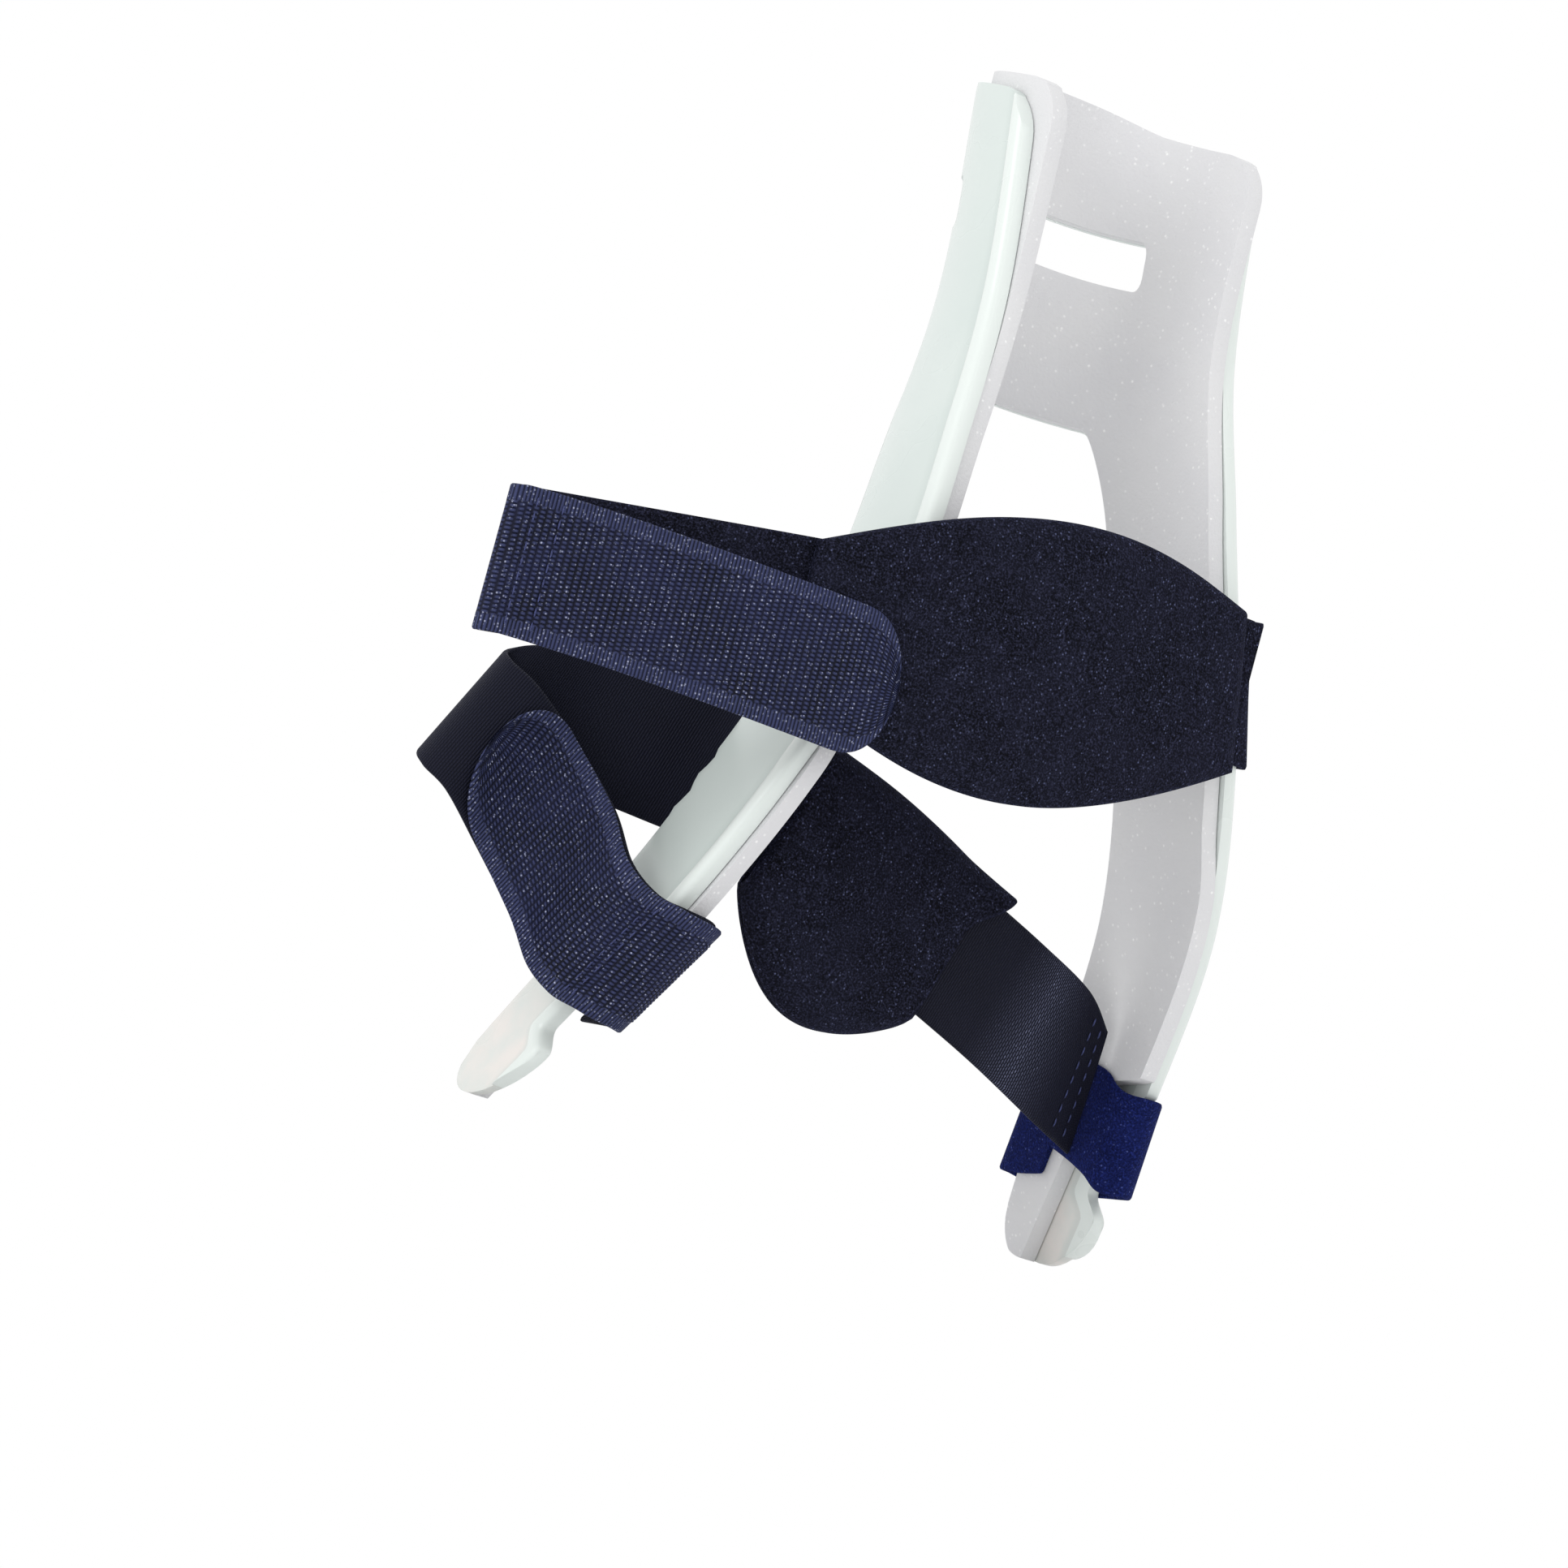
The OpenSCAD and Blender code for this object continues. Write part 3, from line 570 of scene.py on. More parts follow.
def brushedVelour(name, deep, lit, fleck, sheen):
    material, tree, principled, place = newMaterial(
        name, Roughness=0.95, Specular_IOR_Level=0.05, Sheen_Weight=sheen, Sheen_Roughness=0.35,
        Sheen_Tint=srgb(110, 120, 190))
    where = place.outputs["Object"]
    patch = useGroup(tree, patchGroup, Vector=where, Size=0.012, Colour=deep, Tint=lit,
                     Amount=0.14)
    pile = useGroup(tree, grainGroup, Vector=where, Size=0.00055, Detail=2.0)
    dots = useGroup(tree, fleckGroup, Vector=where, Size=0.0008, Share=0.16)
    tufts = calc(tree, "POWER", pile["Height"], 2.2)
    base = mixed(tree, times(tree, tufts, 0.95), patch["Colour"], lit)
    tree.links.new(mixed(tree, times(tree, dots["Mask"], 0.6), base, fleck),
                   principled.inputs["Base Color"])
    tree.links.new(ranged(tree, pile["Height"], 0, 1, 0.8, 1.0), principled.inputs["Roughness"])
    nap = useGroup(tree, grainGroup, Vector=where, Size=0.0016, Detail=3.0)
    bumped(tree, principled, [(nap["Height"], 0.25, 0.0004), (pile["Height"], 0.7, 0.0004)])
    return material


def hookTape():
    look = {"ground": srgb(14, 16, 30), "loop": srgb(70, 77, 118), "spark": srgb(206, 212, 238),
            "under": srgb(26, 29, 54), "row": 0.00185, "edge": 0.0045, "width": 0.038}
    material, tree, principled, place = newMaterial(
        "hookTape", Specular_IOR_Level=0.15, Sheen_Weight=0.05, Sheen_Roughness=0.4,
        Sheen_Tint=srgb(120, 130, 200))
    where = place.outputs["UV"]
    knots = useGroup(tree, weaveGroup, Vector=where, Along=look["row"], Across=look["row"] * 0.62,
                     Ribs=1.0)
    edge = useGroup(tree, weaveGroup, Vector=where, Along=0.001, Across=10.0, Ribs=0.0)
    overTape = separated(tree, "ShaderNodeSeparateXYZ", where)[1]
    toMiddle = difference(tree, overTape, look["width"] / 2)
    edgeAt = look["width"] / 2 - look["edge"]
    field = ranged(tree, toMiddle, edgeAt, edgeAt + 0.0006, 1, 0)
    height = calc(tree, "ADD", times(tree, knots["Height"], field),
                  times(tree, edge["Height"], calc(tree, "SUBTRACT", 1.0, field)))
    patch = useGroup(tree, patchGroup, Vector=place.outputs["Object"], Size=0.012,
                     Colour=look["ground"], Tint=look["under"], Amount=0.8)
    raised = mixed(tree, times(tree, ranged(tree, height, 0.2, 0.9), 0.7), patch["Colour"],
                   look["loop"])
    dots = useGroup(tree, fleckGroup, Vector=place.outputs["Object"], Size=0.0008, Share=0.5)
    shine = times(tree, times(tree, dots["Mask"], ranged(tree, height, 0.2, 0.6)),
                 0.78)
    tree.links.new(mixed(tree, shine, raised, look["spark"]), principled.inputs["Base Color"])
    tree.links.new(ranged(tree, shine, 0, 1, 0.62, 0.3), principled.inputs["Roughness"])
    bumped(tree, principled, [(height, 0.8, 0.0005)])
    return material


def stretchElastic():
    # the pale colour is a painted sheen, laid in a band part way along the elastic
    look = {"ground": srgb(11, 12, 21), "rib": srgb(30, 32, 50), "paintedSheen": srgb(150, 156, 192),
            "under": srgb(17, 18, 30), "pitch": 0.00075, "sheenBandAt": 0.031, "sheenBandWide": 0.017}
    material, tree, principled, place = newMaterial(
        "stretchElastic", Specular_IOR_Level=0.12, Sheen_Weight=0.06, Sheen_Roughness=0.3,
        Sheen_Tint=srgb(120, 125, 170))
    where = place.outputs["UV"]
    ribs = useGroup(tree, weaveGroup, Vector=where, Along=look["pitch"], Across=0.0012, Ribs=0.18)
    patch = useGroup(tree, patchGroup, Vector=place.outputs["Object"], Size=0.014,
                     Colour=look["ground"], Tint=look["under"], Amount=0.8)
    raised = mixed(tree, times(tree, ribs["Height"], 0.8), patch["Colour"], look["rib"])
    # painted sheen: a pale band across the ribs part way along the elastic, sparkled with painted
    # glints
    alongTape = separated(tree, "ShaderNodeSeparateXYZ", where)[0]
    toSheenBand = difference(tree, alongTape, look["sheenBandAt"])
    glints = useGroup(tree, fleckGroup, Vector=place.outputs["Object"], Size=0.0009, Share=0.35)
    lit = calc(tree, "ADD", times(tree, glints["Mask"], 0.8), 0.3)
    band = times(tree, times(tree, lit, ribs["Mask"]),
                calc(tree, "POWER", ranged(tree, toSheenBand, 0.0, look["sheenBandWide"], 0.95, 0), 1.4))
    tree.links.new(mixed(tree, band, raised, look["paintedSheen"]), principled.inputs["Base Color"])
    tree.links.new(ranged(tree, ribs["Height"], 0, 1, 0.75, 0.5), principled.inputs["Roughness"])
    bumped(tree, principled, [(ribs["Height"], 0.7, 0.0003)])
    return material


def twistedThread():
    material, tree, principled, place = newMaterial("twistedThread", Specular_IOR_Level=0.4)
    where = place.outputs["Object"]
    turn = useGroup(tree, grainGroup, Vector=where, Size=0.0004, Detail=2.0)
    tree.links.new(mixed(tree, turn["Height"], srgb(34, 40, 80), srgb(72, 80, 130)),
                   principled.inputs["Base Color"])
    tree.links.new(ranged(tree, turn["Height"], 0, 1, 0.5, 0.7), principled.inputs["Roughness"])
    bumped(tree, principled, [(turn["Height"], 0.5, 0.0002)])
    return material


plastic = mouldedPlastic()
foam = closedFoam()
velour = brushedVelour("brushedVelour", srgb(9, 9, 14), srgb(54, 56, 78), srgb(126, 134, 178), 0.1)
anchorVelour = brushedVelour("anchorVelour", srgb(14, 20, 60), srgb(38, 50, 122), srgb(110, 126, 205),
                             0.15)
tape = hookTape()
elastic = stretchElastic()
thread = twistedThread()
print("materials ready")

# moulded shell


def beadAt(i, z):
    k = across(i)
    if k > layout["bead"]:
        return 0
    s = 0.5 * (1 - math.cos(math.pi * k / layout["bead"]))
    return form["beadHeight"] * math.sqrt(max(0, 1 - (2 * s - 1) ** 2))


def shellPlace(i, j, layer):
    z = frameRow(i, j, 0, 0)
    return framePoint(i, z, -form["shellThick"] if layer else beadAt(i, z), shellBack(z))


shell = closedSheet("frameShell", lastCol, rowCount - 1, shellPlace, frameKept)
applied(shell, "BEVEL", width=0.0008, segments=3, limit_method="ANGLE", angle_limit=math.radians(50))
finished(shell, plastic, "frame", ["frame_shell"])

# foam liner, from the shell's own layout


def foamPlace(i, j, layer):
    z = frameRow(i, j, form["foamRise"], foamBack(0))
    inner = form["shellThick"] + gap
    return framePoint(i, z, -inner - (form["foamThick"] if layer else 0), foamBack(z))


liner = closedSheet("foamLiner", lastCol, rowCount - 1, foamPlace, frameKept)
applied(liner, "BEVEL", width=0.0013, segments=3, limit_method="ANGLE", angle_limit=math.radians(50))
finished(liner, foam, "frame", ["foam_liner"])

# straps
strapSizes = {"webThick": 1.6, "heelWidth": 38, "footWidth": 38, "heelFree": 107, "heelTab": 106,
              "padLength": 142, "padHeight": 75, "core": 2.4, "cloth": 1, "sleeveLength": 61,
              "sleeveDrop": 42, "loopOut": 62, "heelZ": 147,
              "heelSlope": 0.125, "heelMiddle": 15, "padIn": 5, "padAbove": 0.93, "padBelow": 1.07,
              "tipShare": 0.42, "leanShare": 0.26, "leanReach": 60}
stationCounts = {"heel": 150, "loop": 130, "tab": 300, "foot": 420, "anchor": 150}
heelWidth, footWidth, padLength = (strapSizes[k] for k in ("heelWidth", "footWidth", "padLength"))
webThick = strapSizes["webThick"]
inside = -(form["shellThick"] + 2 * gap + form["foamThick"] + webThick / 2)
outside = form["beadHeight"] + gap + webThick / 2
between = (inside + outside) / 2


def evenStations(topAt, bottomAt, count):
    # both edges of a strap at stations spaced evenly along its middle, and its length
    fine = 480
    tops = [topAt(k / fine) for k in range(fine + 1)]
    bottoms = [bottomAt(k / fine) for k in range(fine + 1)]
    run = [0.0]
    for k in range(fine):
        run.append(run[-1] + ((tops[k + 1] + bottoms[k + 1]) / 2 - (tops[k] + bottoms[k]) / 2).length)
    edges = [[], []]
    k = 0
    for n in range(count + 1):
        goal = run[-1] * n / count
        while k < fine - 1 and run[k + 1] < goal:
            k += 1
        u = (goal - run[k]) / max(1e-9, run[k + 1] - run[k])
        edges[0].append(tops[k].lerp(tops[k + 1], u))
        edges[1].append(bottoms[k].lerp(bottoms[k + 1], u))
    return edges, run[-1]


def faceAt(edges, i, v):
    last = len(edges[0]) - 1
    a, b = max(0, i - 1), min(last, i + 1)
    run = edges[0][b].lerp(edges[1][b], v) - edges[0][a].lerp(edges[1][a], v)
    return run.cross(edges[0][i] - edges[1][i]).normalized()


def strapPoint(edges, i, v, off):
    return edges[0][i].lerp(edges[1][i], v) + off * faceAt(edges, i, v)


def rounded(edges, radius):  # the edges drawn in to a round end over the last stretch
    tip = (edges[0][-1] + edges[1][-1]) / 2
    made = [[], []]
    for i in range(len(edges[0])):
        middle = (edges[0][i] + edges[1][i]) / 2
        k = 1 - min(1, (tip - middle).length / radius)
        half = math.sqrt(max(0.012, 1 - k**2.6))
        for side in (0, 1):
            made[side].append(middle.lerp(edges[side][i], half))
    return made


def makeStrap(name, edges, length, width, over, relief=None, edgeSoft=0.9):
    # relief(along, across, layer) is a height on the face in millimetres
    along = len(edges[0]) - 1

    def place(i, j, layer):
        v = 0.5 - 0.5 * math.cos(math.pi * j / over) if over <= 24 else j / over
        toEdge = min(v, 1 - v) * (edges[0][i] - edges[1][i]).length
        soft = math.sqrt(clamp(1 - (1 - clamp(toEdge / edgeSoft)) ** 2, 0.1, 1))
        off = webThick / 2 * soft
        if relief:
            off += relief(length * i / along, width * v, layer) * soft
        return strapPoint(edges, i, v, off if layer == 0 else -off)

    obj = closedSheet(name, along, over, place)
    scaleUv(obj, length, width)
    return obj


# heel strap
heelY = backLine(ankleZ) + gap + webThick / 2 + 0.5
lap = webThick + gap


def heelLine(x):
    return strapSizes["heelZ"] - strapSizes["heelSlope"] * (x - strapSizes["heelMiddle"])


farX = -halfWidth(heelLine(-55))
nearX = halfWidth(heelLine(60) - heelWidth / 2)
swingX = farX + 1
freeX = nearX + strapSizes["heelFree"] - 8
heelFree = strapSizes["heelFree"]
heelPlan = [(swingX, heelY + lap), (-20, heelY + lap + 3), (15, heelY + lap + 4),
            (nearX - 20, heelY + lap + 1), (nearX + 2, heelY + 0.6),
            (nearX + 0.25 * heelFree, heelY - 3.5), (nearX + 0.5 * heelFree, heelY - 11),
            (nearX + 0.75 * heelFree, heelY - 19), (freeX, heelY - 24)]


def evenRoutes(tops, bottoms, count):
    return evenStations(lambda q: routeAt(tops, q * (len(tops) - 1)),
                        lambda q: routeAt(bottoms, q * (len(bottoms) - 1)), count)


def leaned(x, high):  # the pad's far end follows the rim
    near = clamp(1 - (x - swingX) / strapSizes["leanReach"])
    return x + strapSizes["leanShare"] * high * near**2


def heelEdge(s):
    return [Vector((x, y, heelLine(x) + s * heelWidth / 2)) for x, y in heelPlan]


heelEdges, heelLength = evenRoutes(heelEdge(1), heelEdge(-1), stationCounts["heel"])
heelStrap = makeStrap("heelStrap", heelEdges, heelLength, heelWidth, 20)
finished(heelStrap, velour, "heel_strap", ["heel_strap"])


def loopEdge(up):
    z = heelLine(farX) + up
    front = frontReach(-1, z)
    points = [wall(-1, d, off, z) for d, off in (
        (18, inside - 0.8), (28, inside - 0.8), (front - 3, inside - 0.8), (front + 3.5, inside + 1),
        (front + 6, between), (front + 3.5, outside - 1), (front - 3, outside), (20, outside),
        (3, outside))]
    p = wall(-1, -0.5, outside - 1, z)
    return points + [Vector((p[0], max(p[1], heelY - 2.4), z)), Vector((farX + 3, heelY, z)),
                     Vector((farX + 14, heelY, z)), Vector((farX + 24, heelY + 0.5, z))]


heelLoopEdges, loopLength = evenRoutes(loopEdge(heelWidth / 2),
                                       loopEdge(-heelWidth / 2), stationCounts["loop"])
heelLoop = makeStrap("heelLoop", heelLoopEdges, loopLength, heelWidth, 20)
finished(heelLoop, velour, "frame", ["heel_strap_loop"])

# hook tab of the heel strap
tabX = freeX - strapSizes["heelTab"]
liningAt = webThick / 2 + gap
coreAt = liningAt + strapSizes["cloth"] + gap
coverAt = coreAt + strapSizes["core"] + gap
padFace = coverAt + strapSizes["cloth"] + gap + webThick / 2
foldY = heelY - 24
tabPlan = [(freeX + 1.5, foldY + 0.7, 0), (freeX + 1, foldY + 3.6, 0), (freeX - 4, foldY + 5.6, 0.2),
           (lerp(freeX, tabX, 0.25), foldY + 13.5, 3.4), (lerp(freeX, tabX, 0.5), foldY + 22.5, 8),
           (lerp(freeX, tabX, 0.72), heelY + 5.6, 12.4),
           (lerp(freeX, tabX, 0.86), heelY + padFace + 0.3, 15),
           (tabX, heelY + padFace + 1.5, 17.5)]


def tabEdge(s):
    return [Vector((x, y, heelLine(x) - drop + s * heelWidth / 2))
            for x, y, drop in tabPlan]


hooks = {"row": 1.85, "pitch": 1.15, "high": 0.35, "edge": 4.5, "width": 38}


def hookRelief(outLayer):
    def height(along, acrossTape, layer):
        if layer != outLayer:
            return 0
        if min(acrossTape, hooks["width"] - acrossTape) < hooks["edge"]:
            return -0.12 + 0.06 * math.cos(2 * math.pi * along / 1.0)
        row = along / hooks["row"]
        shift = 0.5 if int(row) % 2 else 0
        return hooks["high"] * math.sin(math.pi * (row % 1)) * abs(
            math.sin(math.pi * (acrossTape / hooks["pitch"] + shift))) - 0.1
    return height


tabEdges, tabLength = evenRoutes(tabEdge(1), tabEdge(-1), stationCounts["tab"])
tabEdges = rounded(tabEdges, heelWidth * strapSizes["tipShare"])
heelTab = makeStrap("heelTab", tabEdges, tabLength, heelWidth, 96, hookRelief(0), 0.7)
finished(heelTab, tape, "heel_tab", ["heel_hook_tab"])

# foot strap
loopOut = strapSizes["loopOut"]
loopX = halfWidth(heelSeatZ) + 0.72 * loopOut
loopY = backLine(heelSeatZ) - form["armWidth"] - 0.62 * loopOut
farZ = form["notchZ"] + form["notchHeight"] - 3
gripZ = form["notchZ"] + form["notchHeight"] - 8
gripX, gripY = halfWidth(gripZ), backLine(gripZ)
nearZ = heelSeatZ + 1
nearIn = halfWidth(nearZ) + inside - 2
nearFront = backLine(nearZ) - frontReach(1, nearZ)
footMiddle = [Vector(p) for p in (
    (-halfWidth(farZ) - inside + 1.9, backLine(farZ) - 14, farZ),
    (-60, -22.5, farZ + 7), (-36, -20, farZ + 16), (-11, -20.3, farZ + 25),
    (20, -20.7, farZ + 36), (46, -21, farZ + 45.2),
    (nearIn - 2.5, nearFront + 6, nearZ), (nearIn + 0.5, nearFront - 13, nearZ + 2),
    (nearIn + 13, nearFront - 23, nearZ + 4), (nearIn + 31, nearFront - 33, nearZ + 6),
    (loopX - 6, loopY + 1, nearZ + 4.5), (loopX + 5, loopY, nearZ + 1.5),
    (loopX + 8, loopY + 7, nearZ - 2), (loopX + 3, loopY + 14, nearZ - 7),
    (lerp(gripX, loopX, 0.75), lerp(gripY, loopY, 0.62), nearZ - 18),
    (lerp(gripX, loopX, 0.5), lerp(gripY, loopY, 0.36), nearZ - 33),
    (gripX + 11, gripY - 10, gripZ + 10), (gripX + outside + 3, gripY - 2, gripZ + 3.5),
    (gripX + 1.5, gripY + 5, gripZ + 1.5), (gripX - 5.5, gripY + 6, gripZ + 0.5),
    (gripX + inside - 1.5, gripY + 1, gripZ), (gripX + inside - 2.5, gripY - 8, gripZ),
    (gripX + inside - 3, gripY - 15, gripZ))]
rimTurn = (-0.28, 0.55, 0.9)
footUp = [Vector(p).normalized() for p in (
    (0.24, 0.42, 0.875), (-0.05, 0.2, 0.98), (-0.33, 0, 0.94), (-0.33, 0, 0.94), (-0.33, 0, 0.94),
    (-0.33, 0, 0.94), (-0.28, 0.12, 0.95), (-0.28, 0.1, 0.95), (-0.28, 0.1, 0.95),
    (-0.32, 0.08, 0.94), (-0.42, 0, 0.9), (-0.5, -0.03, 0.87), (-0.5, -0.03, 0.87), (-0.5, 0, 0.87),
    (-0.46, 0.16, 0.87), (-0.4, 0.35, 0.88)) + (rimTurn,) * 7]
footEdge = [[c + side * w * footWidth / 2 for c, w in zip(footMiddle, footUp)]
            for side in (1, -1)]
footEdges, footLength = evenRoutes(footEdge[0], footEdge[1], stationCounts["foot"])
footStrap = makeStrap("footStrap", footEdges, footLength, footWidth, 20)
finished(footStrap, elastic, "frame", ["foot_strap"])


def tabLift(side, t):  # an edge of the hook tab, lifted off the strap that it lies on
    step = 0.05
    a = routeAt(footEdge[side], t - step)
    b = routeAt(footEdge[side], t + step)
    w = routeAt(footEdge[0], t) - routeAt(footEdge[1], t)
    return routeAt(footEdge[side], t) + (webThick + gap + 0.2) * (b - a).cross(w).normalized()


tabStart, tabEnd = 20.1, 13  # places on the strap's route
footTabEdges, footTabLength = evenStations(lambda q: tabLift(0, lerp(tabStart, tabEnd, q)),
                                           lambda q: tabLift(1, lerp(tabStart, tabEnd, q)),
                                           stationCounts["tab"])
footTabEdges = rounded(footTabEdges, footWidth * strapSizes["tipShare"])
cornerRows, cornerDraw = 12, 0.08
for k in range(cornerRows):  # the start's corners are rounded off
    draw = cornerDraw * (1 - math.sin(math.pi / 2 * k / cornerRows))
    a, b = footTabEdges[0][k].copy(), footTabEdges[1][k].copy()
    footTabEdges[0][k], footTabEdges[1][k] = a.lerp(b, draw), b.lerp(a, draw)
footTab = makeStrap("footTab", footTabEdges, footTabLength, footWidth, 96,
                    hookRelief(1), 0.7)
finished(footTab, tape, None, ["foot_hook_tab"])


def footMiddleAt(t):
    return (routeAt(footEdge[0], t) + routeAt(footEdge[1], t)) / 2


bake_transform(footTab)

# anchor loop round the far arm
farFront = frontReach(-1, farZ)
notchZ = form["notchZ"]
anchorPlan = [(22, farZ + 9, 24, farZ - 15, inside), (12, farZ + 7, 13, farZ - 18, inside),
              (5, farZ + 3.5, 4, farZ - 21, inside),
              (0, notchHigh - 1, -3, notchZ + 1.5, inside + 1),
              (-3, notchHigh - 1, -7, notchZ + 1.5, between),
              (0, notchHigh - 1, -3, notchZ + 1.5, outside - 1),
              (8, notchHigh - 2, 6, notchZ + 1, outside), (22, notchHigh - 4, 20, notchZ, outside),
              (farFront - 2, notchHigh - 6, farFront - 4, notchZ, outside),
              (farFront + 5, notchHigh - 7, farFront + 4, notchZ + 1, outside - 2),
              (farFront + 8, notchHigh - 7, farFront + 7, notchZ + 2, between),
              (farFront + 5, notchHigh - 6, farFront + 4, notchZ + 2, inside + 1),
              (farFront - 4, notchHigh - 4, farFront - 5, notchZ + 2, inside),
              (22, notchHigh - 2, 22, notchZ + 3, inside)]
anchorEdge = [[wall(-1, a[c], a[4], a[c + 1]) for a in anchorPlan] for c in (0, 2)]
anchorEdges, anchorLength = evenRoutes(anchorEdge[0], anchorEdge[1], stationCounts["anchor"])
footAnchor = makeStrap("footAnchor", anchorEdges, anchorLength, 30, 18)
finished(footAnchor, anchorVelour, "frame", ["foot_strap_anchor"])

# pads


def heelPadPoint(u, v, off):
    x = lerp(swingX + strapSizes["padIn"], swingX + padLength, u)
    depth, facing = heelAt(x)
    base = (heelWidth - 1) / 2
    swell = math.sin(math.pi * clamp((x - swingX) / padLength))
    high, low = (base + (strapSizes["padHeight"] / 2 * strapSizes[share] - base) * swell
                 for share in ("padAbove", "padBelow"))
    up = lerp(high, -low, v)
    return Vector((leaned(x, up), depth, heelLine(x) + up)) + off * facing


heelFine = [routeAt([Vector((x, y, 0)) for x, y in heelPlan], 8 * k / 1600) for k in range(1601)]


heelFineX = [p[0] for p in heelFine]


def stretchAt(values, x):  # the last stretch of rising values that starts at or before x
    low, high = 0, len(values) - 2
    while low < high:
        k = (low + high + 1) // 2
        if values[k] <= x:
            low = k
        else:
            high = k - 1
    return low


def heelAt(x):  # the strap's depth at x, and the way its face looks there
    k = stretchAt(heelFineX, x)
    a, b = heelFine[k], heelFine[k + 1]
    run = (b - a).normalized()
    return lerp(a[1], b[1], (x - a[0]) / (b[0] - a[0])), Vector((run[1], -run[0], 0))


def border(u, v):  # 0 at the pad's border, 1 inside
    return min(1, min(u, 1 - u) / heelPadLook["endSoft"], min(v, 1 - v) / heelPadLook["sideSoft"])


heelPadLook = {"along": 96, "over": 56, "rise": 1.4, "wave": 0.35, "endSoft": 0.03, "sideSoft": 0.08,
               "tabFrom": 38, "tabTo": 56}


def heelPadPlace(i, j, layer):
    u, v = i / heelPadLook["along"], 0.5 - 0.5 * math.cos(math.pi * j / heelPadLook["over"])
    v = lerp(j / heelPadLook["over"], v, 0.6)
    inner = -(coreAt - 0.2)
    if layer:
        return heelPadPoint(u, v, inner)
    edge = border(u, v)
    dome = (1 - abs(2 * v - 1) ** 2.4) * (1 - abs(2 * u - 1) ** 3)
    room = 1 - ease(swingX + u * padLength, heelPadLook["tabFrom"],
                    heelPadLook["tabTo"])  # the tab lies on the rest
    top = coverAt + strapSizes["cloth"] - 0.1
    wave = heelPadLook["wave"] * noise.noise(Vector((u * 5, v * 3, 2.5))) * edge
    off = lerp(coreAt + 0.9, top, edge**0.45) + dome * heelPadLook["rise"] * room + wave * room
    return heelPadPoint(u, v, -off)


heelPad = closedSheet("heelPad", heelPadLook["along"], heelPadLook["over"], heelPadPlace)
finished(heelPad, velour, "heel_strap", ["heel_pad_cover", "heel_pad_core"], 60)


liningGrid = {"along": 80, "over": 40}


def heelLiningPlace(i, j, layer):
    u, v = i / liningGrid["along"], j / liningGrid["over"]
    return heelPadPoint(u, v, -liningAt - (strapSizes["cloth"] if layer else 0))


heelPadLining = closedSheet("heelPadLining", liningGrid["along"], liningGrid["over"], heelLiningPlace)
finished(heelPadLining, velour, "heel_strap", ["heel_pad_lining"])

# padded sleeve of the foot strap
sleeveStart = -13
footFine = [[routeAt(footEdge[side], 6 * k / 1200) for k in range(1201)] for side in (0, 1)]
footFineX = [(a[0] + b[0]) / 2 for a, b in zip(*footFine)]


def footAt(x):
    k = stretchAt(footFineX, x)
    u = clamp((x - footFineX[k]) / max(1e-9, footFineX[k + 1] - footFineX[k]))
    return [footFine[side][k].lerp(footFine[side][k + 1], u) for side in (0, 1)]


def sleeveEdge(u):
    a, b = footAt(sleeveStart + strapSizes["sleeveLength"] * u)
    w, m = (a - b).normalized(), (a + b) / 2
    bulge = math.sin(math.pi * u)
    half = footWidth / 2 + 3.5
    return (m + w * (half + 2 * bulge),
            m - w * (half + (strapSizes["sleeveDrop"] - half) * max(0, bulge) ** 0.8))


sleeveLook = {"along": 64, "over": 56, "rise": 1.3, "wave": 0.4, "sideSoft": 0.09, "lipEnd": 0.16,
              "lipOut": 6.5, "lipBack": 4.5}
footCoreAt = webThick / 2 + gap
footLiningAt = footCoreAt + 0.2
footCoverAt = footCoreAt + strapSizes["core"] + gap
sleeveEdges = [[], []]
for i in range(sleeveLook["along"] + 1):
    top, bottom = sleeveEdge(i / sleeveLook["along"])
    sleeveEdges[0].append(top)
    sleeveEdges[1].append(bottom)


def lipped(u, v, p, i):  # one upper corner is curled outwards
    lip = (1 - clamp(u / sleeveLook["lipEnd"])) ** 1.6 * ease(1 - v, 0.62, 0.98)
    run = (sleeveEdges[0][1] - sleeveEdges[0][0]).normalized()
    facing = faceAt(sleeveEdges, i, v)
    return p - run * sleeveLook["lipOut"] * lip - facing * sleeveLook["lipBack"] * lip


def sleevePlace(i, j, layer):
    u = i / sleeveLook["along"]
    v = lerp(j / sleeveLook["over"], 0.5 - 0.5 * math.cos(math.pi * j / sleeveLook["over"]), 0.6)
    d = min(v, 1 - v)
    if layer:
        return lipped(u, v, strapPoint(sleeveEdges, i, v,
                                       lerp(0.9, -footCoreAt, clamp(d / 0.045) ** 0.6)), i)
    dome = (1 - abs(2 * v - 1) ** 2.4) * (1 - abs(2 * u - 1) ** 4)
    edge = min(clamp(d / sleeveLook["sideSoft"]), clamp(min(u, 1 - u) / 0.06))
    wave = sleeveLook["wave"] * noise.noise(Vector((u * 4, v * 4, 7.5))) * edge
    off = lerp(0.1, footCoverAt + 0.9, clamp(d / sleeveLook["sideSoft"]) ** 0.5)
    off = min(off, lerp(footCoreAt + 1.6, 9, clamp(min(u, 1 - u) / 0.05) ** 0.5))
    return lipped(u, v, strapPoint(sleeveEdges, i, v, -off - dome * sleeveLook["rise"] - wave), i)


footSleeve = closedSheet("footSleeve", sleeveLook["along"], sleeveLook["over"], sleevePlace)
finished(footSleeve, velour, "foot_sleeve", ["foot_sleeve_cover", "foot_sleeve_core"], 60)


def sleeveLiningPlace(i, j, layer):
    return strapPoint(sleeveEdges, i, j / liningGrid["over"],
                      footLiningAt + (0 if layer else strapSizes["cloth"]))


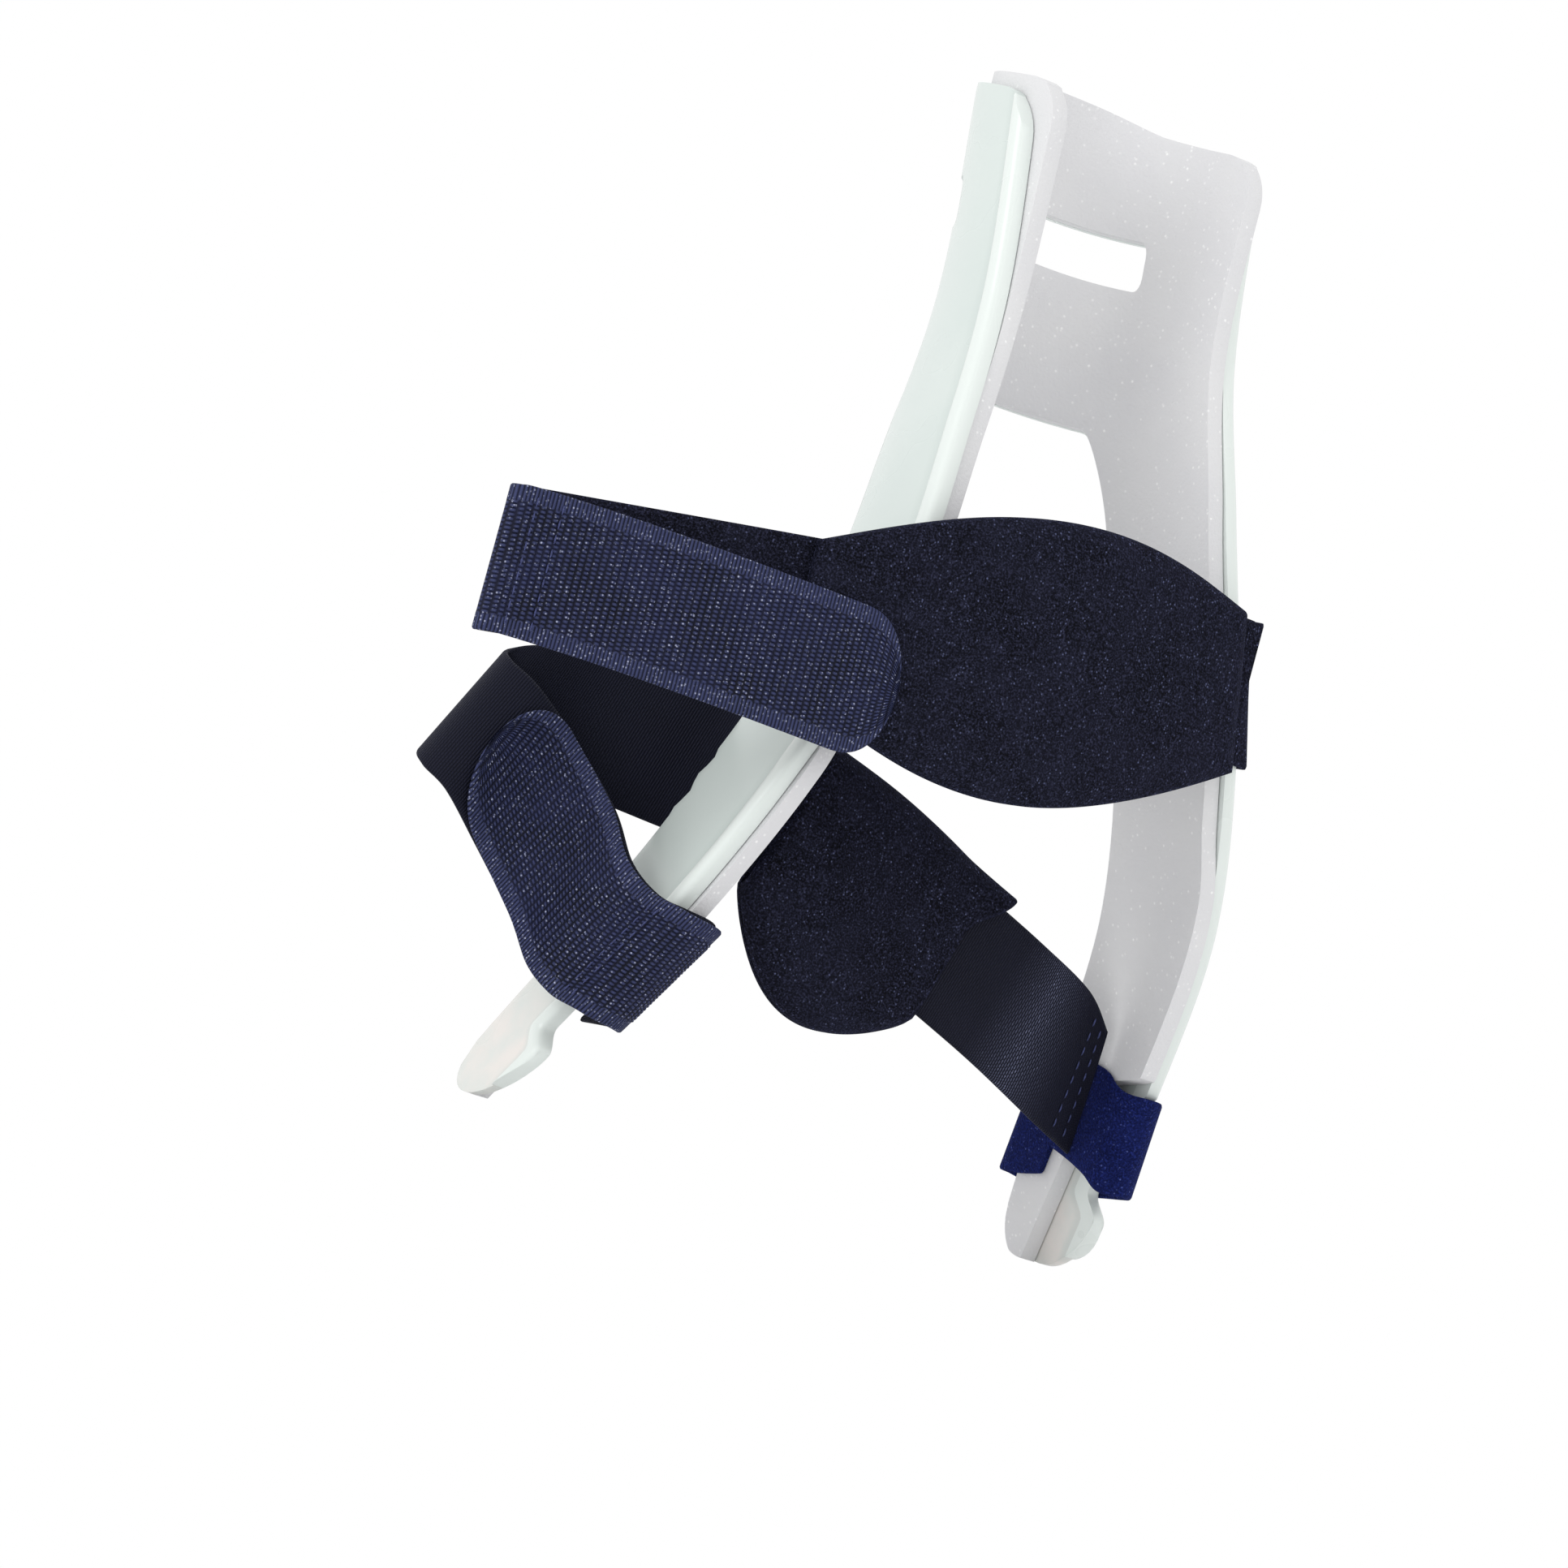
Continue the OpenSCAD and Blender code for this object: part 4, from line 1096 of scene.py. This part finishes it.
footSleeveLining = closedSheet("footSleeveLining", sleeveLook["along"], liningGrid["over"],
                               sleeveLiningPlace)
finished(footSleeveLining, velour, "foot_sleeve", ["foot_sleeve_lining"])

# stitching
stitchSize = {"long": 2.6, "thick": 0.5, "high": 0.42, "bow": 0.16, "sunk": 0.12, "lift": 0.4}


def stitchRows(name, edges, rows, off, count, body, node):
    bpy.ops.object.select_all(action="DESELECT")
    bpy.ops.mesh.primitive_uv_sphere_add(segments=8, ring_count=6, radius=0.5)
    first = bpy.context.object
    first.name = name
    source = first.data.copy()
    joined = bmesh.new()
    for row in rows:
        w = (edges[0][row] - edges[1][row]).normalized()
        for k in range(count):
            v = (k + 1) / (count + 1)
            n = faceAt(edges, row, v)
            t = w.cross(n)
            p = strapPoint(edges, row, v, off)
            joined.from_mesh(source)
            joined.verts.ensure_lookup_table()
            for vert in joined.verts[-len(source.vertices):]:
                a, b, c = vert.co
                bow = stitchSize["bow"] * (1 - (2 * a) ** 2)  # pulled down at both ends
                rise = c * stitchSize["high"] + bow - stitchSize["sunk"]
                local = (w * a * stitchSize["long"] + t * b * stitchSize["thick"]
                         + n * math.copysign(1, off) * rise)
                vert.co = placed(p + local)
    joined.to_mesh(first.data)
    joined.free()
    bpy.data.meshes.remove(source)
    finished(first, thread, body, [node])


def nearest(edges, point):
    return min(range(len(edges[0])), key=lambda i: ((edges[0][i] + edges[1][i]) / 2 - point).length)


onFace = webThick / 2 + stitchSize["lift"]
lastLoop = len(heelLoopEdges[0]) - 1


def rowsAt(edges, length, distances):  # the rows that lie at these distances from the start
    return [round((len(edges[0]) - 1) * d / length) for d in distances]


stitchRows("heelLoopStitching", heelLoopEdges,
           [lastLoop - row for row in rowsAt(heelLoopEdges, loopLength, (3.3, 6.7))],
           onFace, 8, "frame", "heel_loop_stitching")
stitchRows("heelTabStitching", tabEdges, rowsAt(tabEdges, tabLength, (8, 15)),
           onFace, 9, "heel_tab", "heel_tab_stitching")
stitchRows("footAnchorStitching", footEdges, rowsAt(footEdges, footLength, (5.2, 10)),
           -onFace, 8, "frame", "foot_anchor_stitching")
stitchRows("footTabStitching", footTabEdges,
           [nearest(footTabEdges, footMiddleAt(t)) for t in (17.5, 17.25)],
           -onFace, 8, "foot_tab", "foot_tab_stitching")

# camera
shot = {"turn": 36, "tilt": -6, "roll": 15, "distance": 2.2, "lens": 191.8,
        "target": Vector((0, 0.02413, -0.086)), "aside": -0.0526, "down": -0.0323,
        "sensor": 36}


def shotAxes():
    turn, tilt, roll = (math.radians(shot[k]) for k in ("turn", "tilt", "roll"))
    back = Vector((math.sin(turn) * math.cos(tilt), math.cos(turn) * math.cos(tilt), math.sin(tilt)))
    flat = Vector((-math.cos(turn), math.sin(turn), 0))
    up = back.cross(flat)
    return (math.cos(roll) * flat + math.sin(roll) * up, math.cos(roll) * up - math.sin(roll) * flat,
            back)


right, up, back = shotAxes()
camera = bpy.data.objects.new("camera", bpy.data.cameras.new("camera"))
bpy.context.collection.objects.link(camera)
bpy.context.scene.camera = camera
camera.data.lens = shot["lens"]
camera.data.sensor_width = shot["sensor"]
camera.data.clip_end = 50
camera.location = shot["target"] + back * shot["distance"]
look = (shot["target"] + shot["aside"] * right + shot["down"] * up - camera.location).normalized()
side = look.cross(up).normalized()
camera.rotation_mode = "QUATERNION"
camera.rotation_quaternion = Matrix((side, side.cross(look), -look)).transposed().to_quaternion()

# light, world and floor
studio = {"world": 0.84, "floor": -0.2335, "floorSize": 3}
lamps = {  # watts, size in metres, and place to the right, up and towards the camera
    "keyLight": (6.0, 0.9, (-0.9, 0.9, 1.1)), "fillLight": (2.2, 1.4, (1.2, 0.4, 1.0)),
    "backLight": (2.0, 1.0, (0.5, 1.1, -1.0))}
scene = bpy.context.scene
scene.view_settings.view_transform = "Standard"


def softbox(name, watts, size, place):
    lamp = bpy.data.lights.new(name, "AREA")
    lamp.energy, lamp.size, lamp.shape = watts, size, "DISK"
    obj = bpy.data.objects.new(name, lamp)
    bpy.context.collection.objects.link(obj)
    obj.location = shot["target"] + place
    obj.rotation_mode = "QUATERNION"
    obj.rotation_quaternion = (-place).to_track_quat("-Z", "Y")


for name, (watts, size, place) in lamps.items():
    softbox(name, watts, size, place[0] * right + place[1] * up + place[2] * back)

world = bpy.data.worlds.new("studio")
scene.world = world
world.use_nodes = True
tree = world.node_tree
ground = tree.nodes["Background"]
ground.inputs["Color"].default_value = (1, 1, 1, 1)
path = tree.nodes.new("ShaderNodeLightPath")
seen = calc(tree, "MAXIMUM", path.outputs["Is Camera Ray"],
            calc(tree, "MAXIMUM", path.outputs["Is Glossy Ray"], path.outputs["Is Transmission Ray"]))
tree.links.new(calc(tree, "ADD", times(tree, seen, 1 - studio["world"]), studio["world"]),
               ground.inputs["Strength"])

bpy.ops.object.select_all(action="DESELECT")
bpy.ops.mesh.primitive_circle_add(vertices=96, radius=studio["floorSize"], fill_type="NGON",
                                  location=(0, 0, studio["floor"]))
floor = bpy.context.object
floor.name = "floor"
floorLook = bpy.data.materials.new("paleFloor")
floorLook.use_nodes = True
tree = floorLook.node_tree
shade = tree.nodes["Principled BSDF"]
shade.inputs["Base Color"].default_value = (0.93, 0.93, 0.935, 1)
shade.inputs["Roughness"].default_value = 0.6
clear = tree.nodes.new("ShaderNodeBsdfTransparent")
facing = tree.nodes.new("ShaderNodeNewGeometry")
choose = tree.nodes.new("ShaderNodeMixShader")
tree.links.new(facing.outputs["Backfacing"], choose.inputs[0])
tree.links.new(shade.outputs[0], choose.inputs[1])
tree.links.new(clear.outputs[0], choose.inputs[2])
tree.links.new(choose.outputs[0], tree.nodes["Material Output"].inputs["Surface"])
floor.data.materials.append(floorLook)
print("studio ready")
